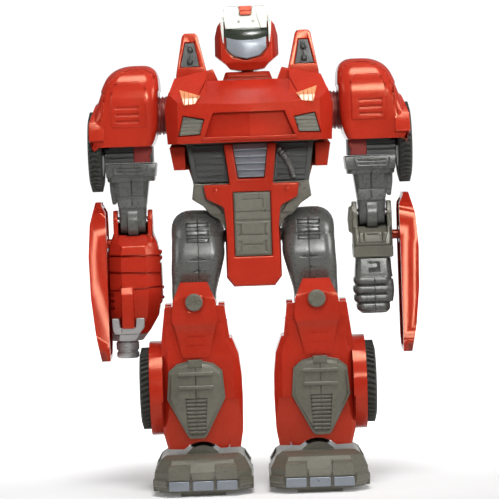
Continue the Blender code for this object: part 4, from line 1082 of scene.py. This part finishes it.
def rim(low, high, z, spokes=6):
    """A dished rim with cut-outs between its spokes."""
    dish = spin([
        (low + 0.4, 2.3), (low + 0.4, 13), (high - 0.7, 13), (high - 0.4, 12.6), (high - 0.4, 11.8),
        (high - 2.0, 11), (high - 2.2, 5), (high - 0.6, 3.6), (high - 0.4, 3.2), (high - 0.4, 2.3),
        (low + 0.4, 2.3),
    ], "X", (0, 0, z), 60)
    holes = []
    for k in range(spokes):
        spoke = []
        for radius, half in ((5.4, 12), (10.4, 20)):
            for step in range(5):
                turn = radians(360 * k / spokes - half + half * step / 2)
                spoke.append((radius * cos(turn), z + radius * sin(turn)))
        inner, outer = spoke[:5], spoke[5:]
        holes.append(slab(inner + outer[::-1], high - 3.4, high + 1, "YZ"))
    return cut(dish, *holes)


def build_wheels():
    """The four tyres with their tread and the four spoked rims."""
    for place, (low, high), radius, z in (
        ("front", (73.2, 80.0), 19.95, FRONT_WHEEL_Z), ("rear", (50.2, 58.7), 20.45, REAR_WHEEL_Z),
    ):
        keep_pair(tyre(low, high, radius, z), f"{place}_tyre_tread", f"{place}_wheel", "black_rubber",
                  f"{place}_tyre", edge=0)
        keep_pair(rim(low, high, z), f"{place}_rim_disc", f"{place}_wheel", "silver_paint",
                  f"{place}_rim", edge=0.2)


# ---------------------------------------------------------------- legs

COVER_X = LEG_X + 0.6                                       # middle of the shin's cover
KNEE_BUTTON = (LEG_X, 0, 94.6)                              # a point on the knee button's axis

THIGH = [
    (92, LEG_X - 10.8, LEG_X + 10.8, -11, 8.5, 3.4), (98, LEG_X - 11, LEG_X + 11, -11.9, 9, 3.8),
    (104, 29.4 - 11.7, 29.4 + 11.7, -12.1, 10, 4.6), (110, 28.6 - 12.5, 28.6 + 12.5, -14.4, 11, 5.6),
    (117, 14.5, 40.7, -14.8, 12.4, 6.2), (123, 14.8, 40.5, -13.6, 12.6, 6.2),
    (126.5, 15.4, 39.8, -12.6, 12.4, 6),
]
HIP = [
    (14.3, 0), (14.3, 4), (14.8, 6.4), (15.8, 8.4), (17.2, 10.2), (19, 11.7), (21.4, 12.8), (24, 13.3),
    (30, 13.5), (33, 13.3), (35.6, 12.5), (37.8, 11), (39.4, 9), (40.4, 6.4), (40.6, 4), (40.6, 0),
]


def thigh_form(grow):
    """The thigh's plain outer form with its round hip, larger all round by grow."""
    dome = spin([(x + grow * (x - 27.5) / 13, radius + grow * (radius > 0)) for x, radius in HIP],
                "X", (0, 0, HIP_Z), 72)
    return join(hull(THIGH, grow=grow), dome)


def build_thigh():
    """The thigh's shell with its engraved panels, centre seam and creases, and the knee's knuckle."""
    thigh = thigh_form(0)
    middle = 27.4
    frames = [
        cut(box(about(middle, 5.5), (-30, 0), (z, z + 2.3)),
            box(about(middle, 5.1), (-31, 1), (z + 0.4, z + 1.9)))
        for z in (123.4, 127.2, 131.0)
    ]
    seam = box(about(middle, 0.16), (-30, 0), (103.5, 135))
    thigh = engraved(thigh, [seam], thigh_form(-0.4))
    for frame in frames:
        thigh = engraved(thigh, [frame], thigh_form(-0.3))
    creases = [bead((27.4, -16.0, 115.2), (5.6, 2.0, 0.8), 24),
               bead((27.6, -15.9, 109.6), (5.2, 2.0, 0.7), 24)]
    thigh = cut(thigh, *creases)
    knuckle = rod(9, about(LEG_X, 7.8), "X", (0, 0, KNEE_Z), 40)
    neck = box(about(LEG_X, 7.8), (-8, 7.5), (85, 94))
    pivot = rod(3.1, (5, 16), "X", (0, 0, HIP_Z), 24)
    thigh = join(thigh, knuckle, neck, pivot)
    back = [box((18, 37), (10.6, 20), (z, z + 0.8)) for z in (108, 112, 116)]
    bore = rod(2.2, about(LEG_X, 12), "X", (0, 0, KNEE_Z), 20)
    keep_pair(cut(thigh, bore, *back), "thigh", "thigh", "grey_plastic", "thigh", edge=0.3)


def build_shin():
    """The shin with its slanted lower facets, knee marks and side vents."""
    shin = cad("shin_l")
    for side, reach in ((1, 16.9), (-1, 23)):
        def lean(x, z):
            """How far back the slanted facet beside the cover's lower end is."""
            away = side * (x - (COVER_X + side * 14.6)) * 0.8868 - (z - 47) * 0.4627
            return -18 + 0.30 * max(away - 0.4, -0.4)

        facet = [(14.9, 46), (reach, 46), (reach, 18), (4.4, 18), (4.2, 27)]
        shin = cut(shin, slab([(COVER_X + side * a, b) for a, b in facet], -30, lean))
    lines = [box(about(LEG_X, half), (-30, -18.2), (z, z + 0.35)) for z, half in ((77.4, 4.6), (73.0, 4.2))]
    ring = spin([(-24, 5.5), (-20.2, 5.5), (-20.2, 4.5), (-24, 4.5), (-24, 5.5)], "Y", KNEE_BUTTON, 36)
    vents = [slab(rect((-12, 12), (z, z + 0.6)), 0, 8.35, "YZ") for z in (42, 46, 62)]
    keep_pair(cut(shin, *lines, ring, *vents), "shin", "shin", "red_plastic", "shin", edge=0.6, clamp=True)


def build_shin_cover():
    """The crowned shin cover with its top tab, two bars and the ladder of rungs in its channel."""
    face = [
        (-3.4, 27.2), (3.4, 27.2), (4.8, 28.6), (14.4, 47), (13.3, 60.6), (9, 64.2), (3.6, 65.4),
        (-3.6, 65.4), (-9, 64.2), (-13.3, 60.6), (-14.4, 47), (-4.8, 28.6),
    ]
    crown = loft([
        [(x, y, z) for x, z in at(COVER_X, [(share * a, 46.6 + share * (b - 46.6)) for a, b in face])]
        for share, y in ((0.95, -20.0), (0.88, -21.0), (0.60, -21.5))
    ])
    tab = box(about(COVER_X, 3.5), (-22.0, -19), (62.8, 66.2))
    cover = join(slab(at(COVER_X, face), -20.2, -18.3), crown, tab)
    channel = slab(at(COVER_X, [(-5.4, 47.2), (5.4, 47.2), (4.1, 29.6), (-4.1, 29.6)]), -24, -20.4)
    cover = cut(cover, channel, box(about(COVER_X, 0.16), (-24, -21.0), (47, 62)))
    bars = [
        slab(at(COVER_X, [(-8.8, z + 0.5), (-8.3, z), (8.3, z), (8.8, z + 0.5), (8.8, z + 1.1),
                          (8.3, z + 1.6),
                          (-8.3, z + 1.6), (-8.8, z + 1.1)]), -22.6, -20)
        for z in (58.4, 51.8)
    ]
    rungs = [
        box(about(COVER_X, 5.1 - 0.12 * k), (-21.4, -19.8), (45.4 - 1.95 * k, 46.5 - 1.95 * k))
        for k in range(9)
    ]
    cover = cut(join(cover, *bars, *rungs), box(about(COVER_X, 0.14), (-24, -21.1), (29, 47)))
    keep_pair(cover, "shin_cover", "shin", "olive_grey_plastic", "shin_cover", edge=0.2)


def build_knee_button():
    """The round knee button, scored by three lines through its middle."""
    button = spin([(-20.9, 0), (-20.9, 4.3), (-22.2, 4.3), (-22.6, 3.9), (-22.6, 0)], "Y", KNEE_BUTTON, 40)
    scores = [
        turned(box(about(LEG_X, 0.2), (-24, -22.35), (91.6, 97.6)), angle, "Y", KNEE_BUTTON)
        for angle in (0, 60, 120)
    ]
    keep_pair(cut(button, *scores), "knee_boss", "shin", "olive_grey_plastic", "knee_button", edge=0.1)


def octagon(z, half, y, nip):
    """A rectangle with cut corners about the foot's middle line, at height z."""
    (x0, x1), (y0, y1) = about(FOOT_X, half), y
    return [
        (x0 + nip, y0, z), (x1 - nip, y0, z), (x1, y0 + nip, z), (x1, y1 - nip, z),
        (x1 - nip, y1, z), (x0 + nip, y1, z), (x0, y1 - nip, z), (x0, y0 + nip, z),
    ]


def build_foot():
    """The foot with its bumper, toe blocks and pads, side lugs and treads."""
    toes = ((-17, -6.4, 15.6), (-5.4, 5.4, 12.6), (6.4, 17, 15.6))
    bumper = loft([
        octagon(5.0, 24.0, (-33.9, 26.2), 7), octagon(5.8, 24.7, (-34.4, 26.8), 7.2),
        octagon(8.2, 24.7, (-34.4, 26.8), 7.2), octagon(9.0, 24.0, (-33.9, 26.2), 7),
    ])
    foot = join(cad("foot_l"), bumper)
    treads = [box(about(FOOT_X, 12), (y, y + 1.6), (-1, 1.3)) for y in [-26 + 4.5 * k for k in range(11)]]
    scoop = [(24.8, 17.6), (24.8, 12), (22.8, 12.4), (19.6, 17.6)]
    scoops = [slab([(FOOT_X + side * a, b) for a, b in scoop], -20, 10) for side in (1, -1)]
    foot = cut(foot, box(about(FOOT_X, 17.8), (-40, -33.1), (2.6, 9.4)), *treads, *scoops)
    blocks = [
        loft([
            [(FOOT_X + share * x, y, z) for x, y in ((low, front), (high, front), (high, -24), (low, -24))]
            for share, front, z in ((1, -34.3, 8.4), (0.98, -33.2, top - 1.2), (0.94, -31.2, top))
        ])
        for low, high, top in toes
    ]
    lug = [(21, 2.6), (24.6, 2.6), (24.8, 7), (21, 7)]
    lugs = [
        slab([(FOOT_X + side * a, b) for a, b in lug], y, y + 5.4)
        for side in (1, -1) for y in (-25.4, -17, 11.4)
    ]
    keep_pair(join(foot, *blocks, *lugs), "foot", "foot", "olive_grey_plastic", "foot", edge=0.4,
              clamp=True)
    for (low, high, _), name in zip(toes, ("inner", "middle", "outer")):
        pad = slab(rect((FOOT_X + low + 0.2, FOOT_X + high - 0.2), (3.2, 8.0)), -34.3, -32)
        keep_pair(pad, f"toe_pad_{name}", "foot", "blue_grey_plastic", edge=0.6)


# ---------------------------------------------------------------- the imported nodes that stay

def finish_packed_nodes():
    """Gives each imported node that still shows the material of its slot."""
    slots = {
        "steel": ("battery_screw", "elbow_pin_l", "elbow_pin_r", "knee_pin_l", "knee_pin_r"),
        "cell_blue": ("battery_upper", "battery_lower"),
        "board_green": ("circuit_board",),
        "black_plastic": ("speaker",),
        "silver_paint": ("sound_button",),
    }
    for finish, names in slots.items():
        for name in names:
            shown = NODES[name]
            shown.data.materials.clear()
            shown.data.materials.append(MATERIALS[finish])


# ---------------------------------------------------------------- studio

def softbox(name, place, target, size, power, spread):
    """A square area light aimed at a point; places in metres, its spread in degrees."""
    lamp = bpy.data.lights.new(name, "AREA")
    lamp.size = size
    lamp.energy = power
    lamp.spread = radians(spread)
    made = bpy.data.objects.new(name, lamp)
    bpy.context.scene.collection.objects.link(made)
    made.location = place
    made.rotation_euler = (Vector(target) - Vector(place)).to_track_quat("-Z", "Y").to_euler()


def build_floor():
    """A plain pale paper floor that glows, a painted light: faint under and in front of the robot,
    brightening to white behind it.
    """
    shape = bmesh.new()
    bmesh.ops.create_grid(shape, x_segments=1, y_segments=1, size=FLOOR_HALF)
    floor = new_object(shape)
    floor.name = "studio_floor"
    paper = bpy.data.materials.new("paper")
    paper.use_nodes = True
    tree = paper.node_tree
    shader = tree.nodes["Principled BSDF"]
    shader.inputs["Base Color"].default_value = (0.9, 0.9, 0.9, 1)
    shader.inputs["Roughness"].default_value = 0.9
    shader.inputs["Emission Color"].default_value = (1, 1, 1, 1)
    spot = node(tree, "TexCoord").outputs["Object"]
    depth = node(tree, "SeparateXYZ", {"Vector": spot}).outputs["Y"]
    # Painted light: the floor's emission is faint in front and grows to full white behind the robot, and it
    # also lights the robot.
    tree.links.new(between(tree, depth, 0.0, 0.35, 0.10, 1.0), shader.inputs["Emission Strength"])
    floor.data.materials.append(paper)


def build_light():
    """A white sky card behind the robot, a soft sky that is brighter on the +X side, and four lamps."""
    world = bpy.data.worlds.new("studio")
    world.use_nodes = True
    tree = world.node_tree
    ground = tree.nodes["Background"]
    direction = node(tree, "TexCoord").outputs["Generated"]
    parts = node(tree, "SeparateXYZ", {"Vector": direction})
    level = between(tree, parts.outputs["Y"], 0.90, 0.98, 0, 1.0)
    for axis, low, high in (("X", 0.06, 0.36), ("Z", 0, 0.3)):
        share = between(tree, parts.outputs[axis], 0, 1, low, high)
        level = node(tree, "Math", {0: level, 1: share}, operation="ADD").outputs[0]
    tree.links.new(level, ground.inputs["Strength"])
    ground.inputs["Color"].default_value = (1, 1, 1, 1)
    bpy.context.scene.world = world
    for lamp in (
        ("overhead", (0.03, -0.34, 0.95), (0, 0, 0.22), 0.5, 0.55, 34),
        ("front", (0.15, -0.95, 0.5), (0, 0, 0.24), 0.3, 0.22, 24),
        ("right", (1.0, -0.35, 0.5), (0, 0, 0.21), 0.5, 0.42, 40),
        ("left", (-1.1, -0.4, 0.4), (0, 0, 0.18), 0.5, 0.2, 44),
    ):
        softbox(*lamp)


def build_camera():
    """The camera in front of the robot, slightly above it and rolled a little; lengths in metres."""
    aim = Vector((-0.002, 0, 0.11875))
    distance, width, rise, roll = 1.2, 0.2495, radians(2.5), radians(-2)
    lens = bpy.data.cameras.new("view")
    lens.lens = lens.sensor_width * distance / width
    lens.clip_start = 0.05
    camera = bpy.data.objects.new("view", lens)
    bpy.context.scene.collection.objects.link(camera)
    back = Vector((0, -cos(rise), sin(rise)))
    camera.location = aim + back * distance
    level_turn = (-back).to_track_quat("-Z", "Y").to_matrix().to_4x4()
    camera.rotation_euler = (level_turn @ Matrix.Rotation(roll, 4, "Z")).to_euler()
    bpy.context.scene.camera = camera
    bpy.context.scene.view_settings.view_transform = "Standard"


build_chest()
build_fins()
build_torso()
build_pelvis()
build_skull()
build_helmet()
build_visor()
build_neck()
build_back()
build_roof()
build_fender()
build_upper_arm()
build_cannon()
build_fist_arm()
build_doors()
build_wheels()
build_thigh()
build_shin()
build_shin_cover()
build_knee_button()
build_foot()
finish_packed_nodes()
build_floor()
build_light()
build_camera()
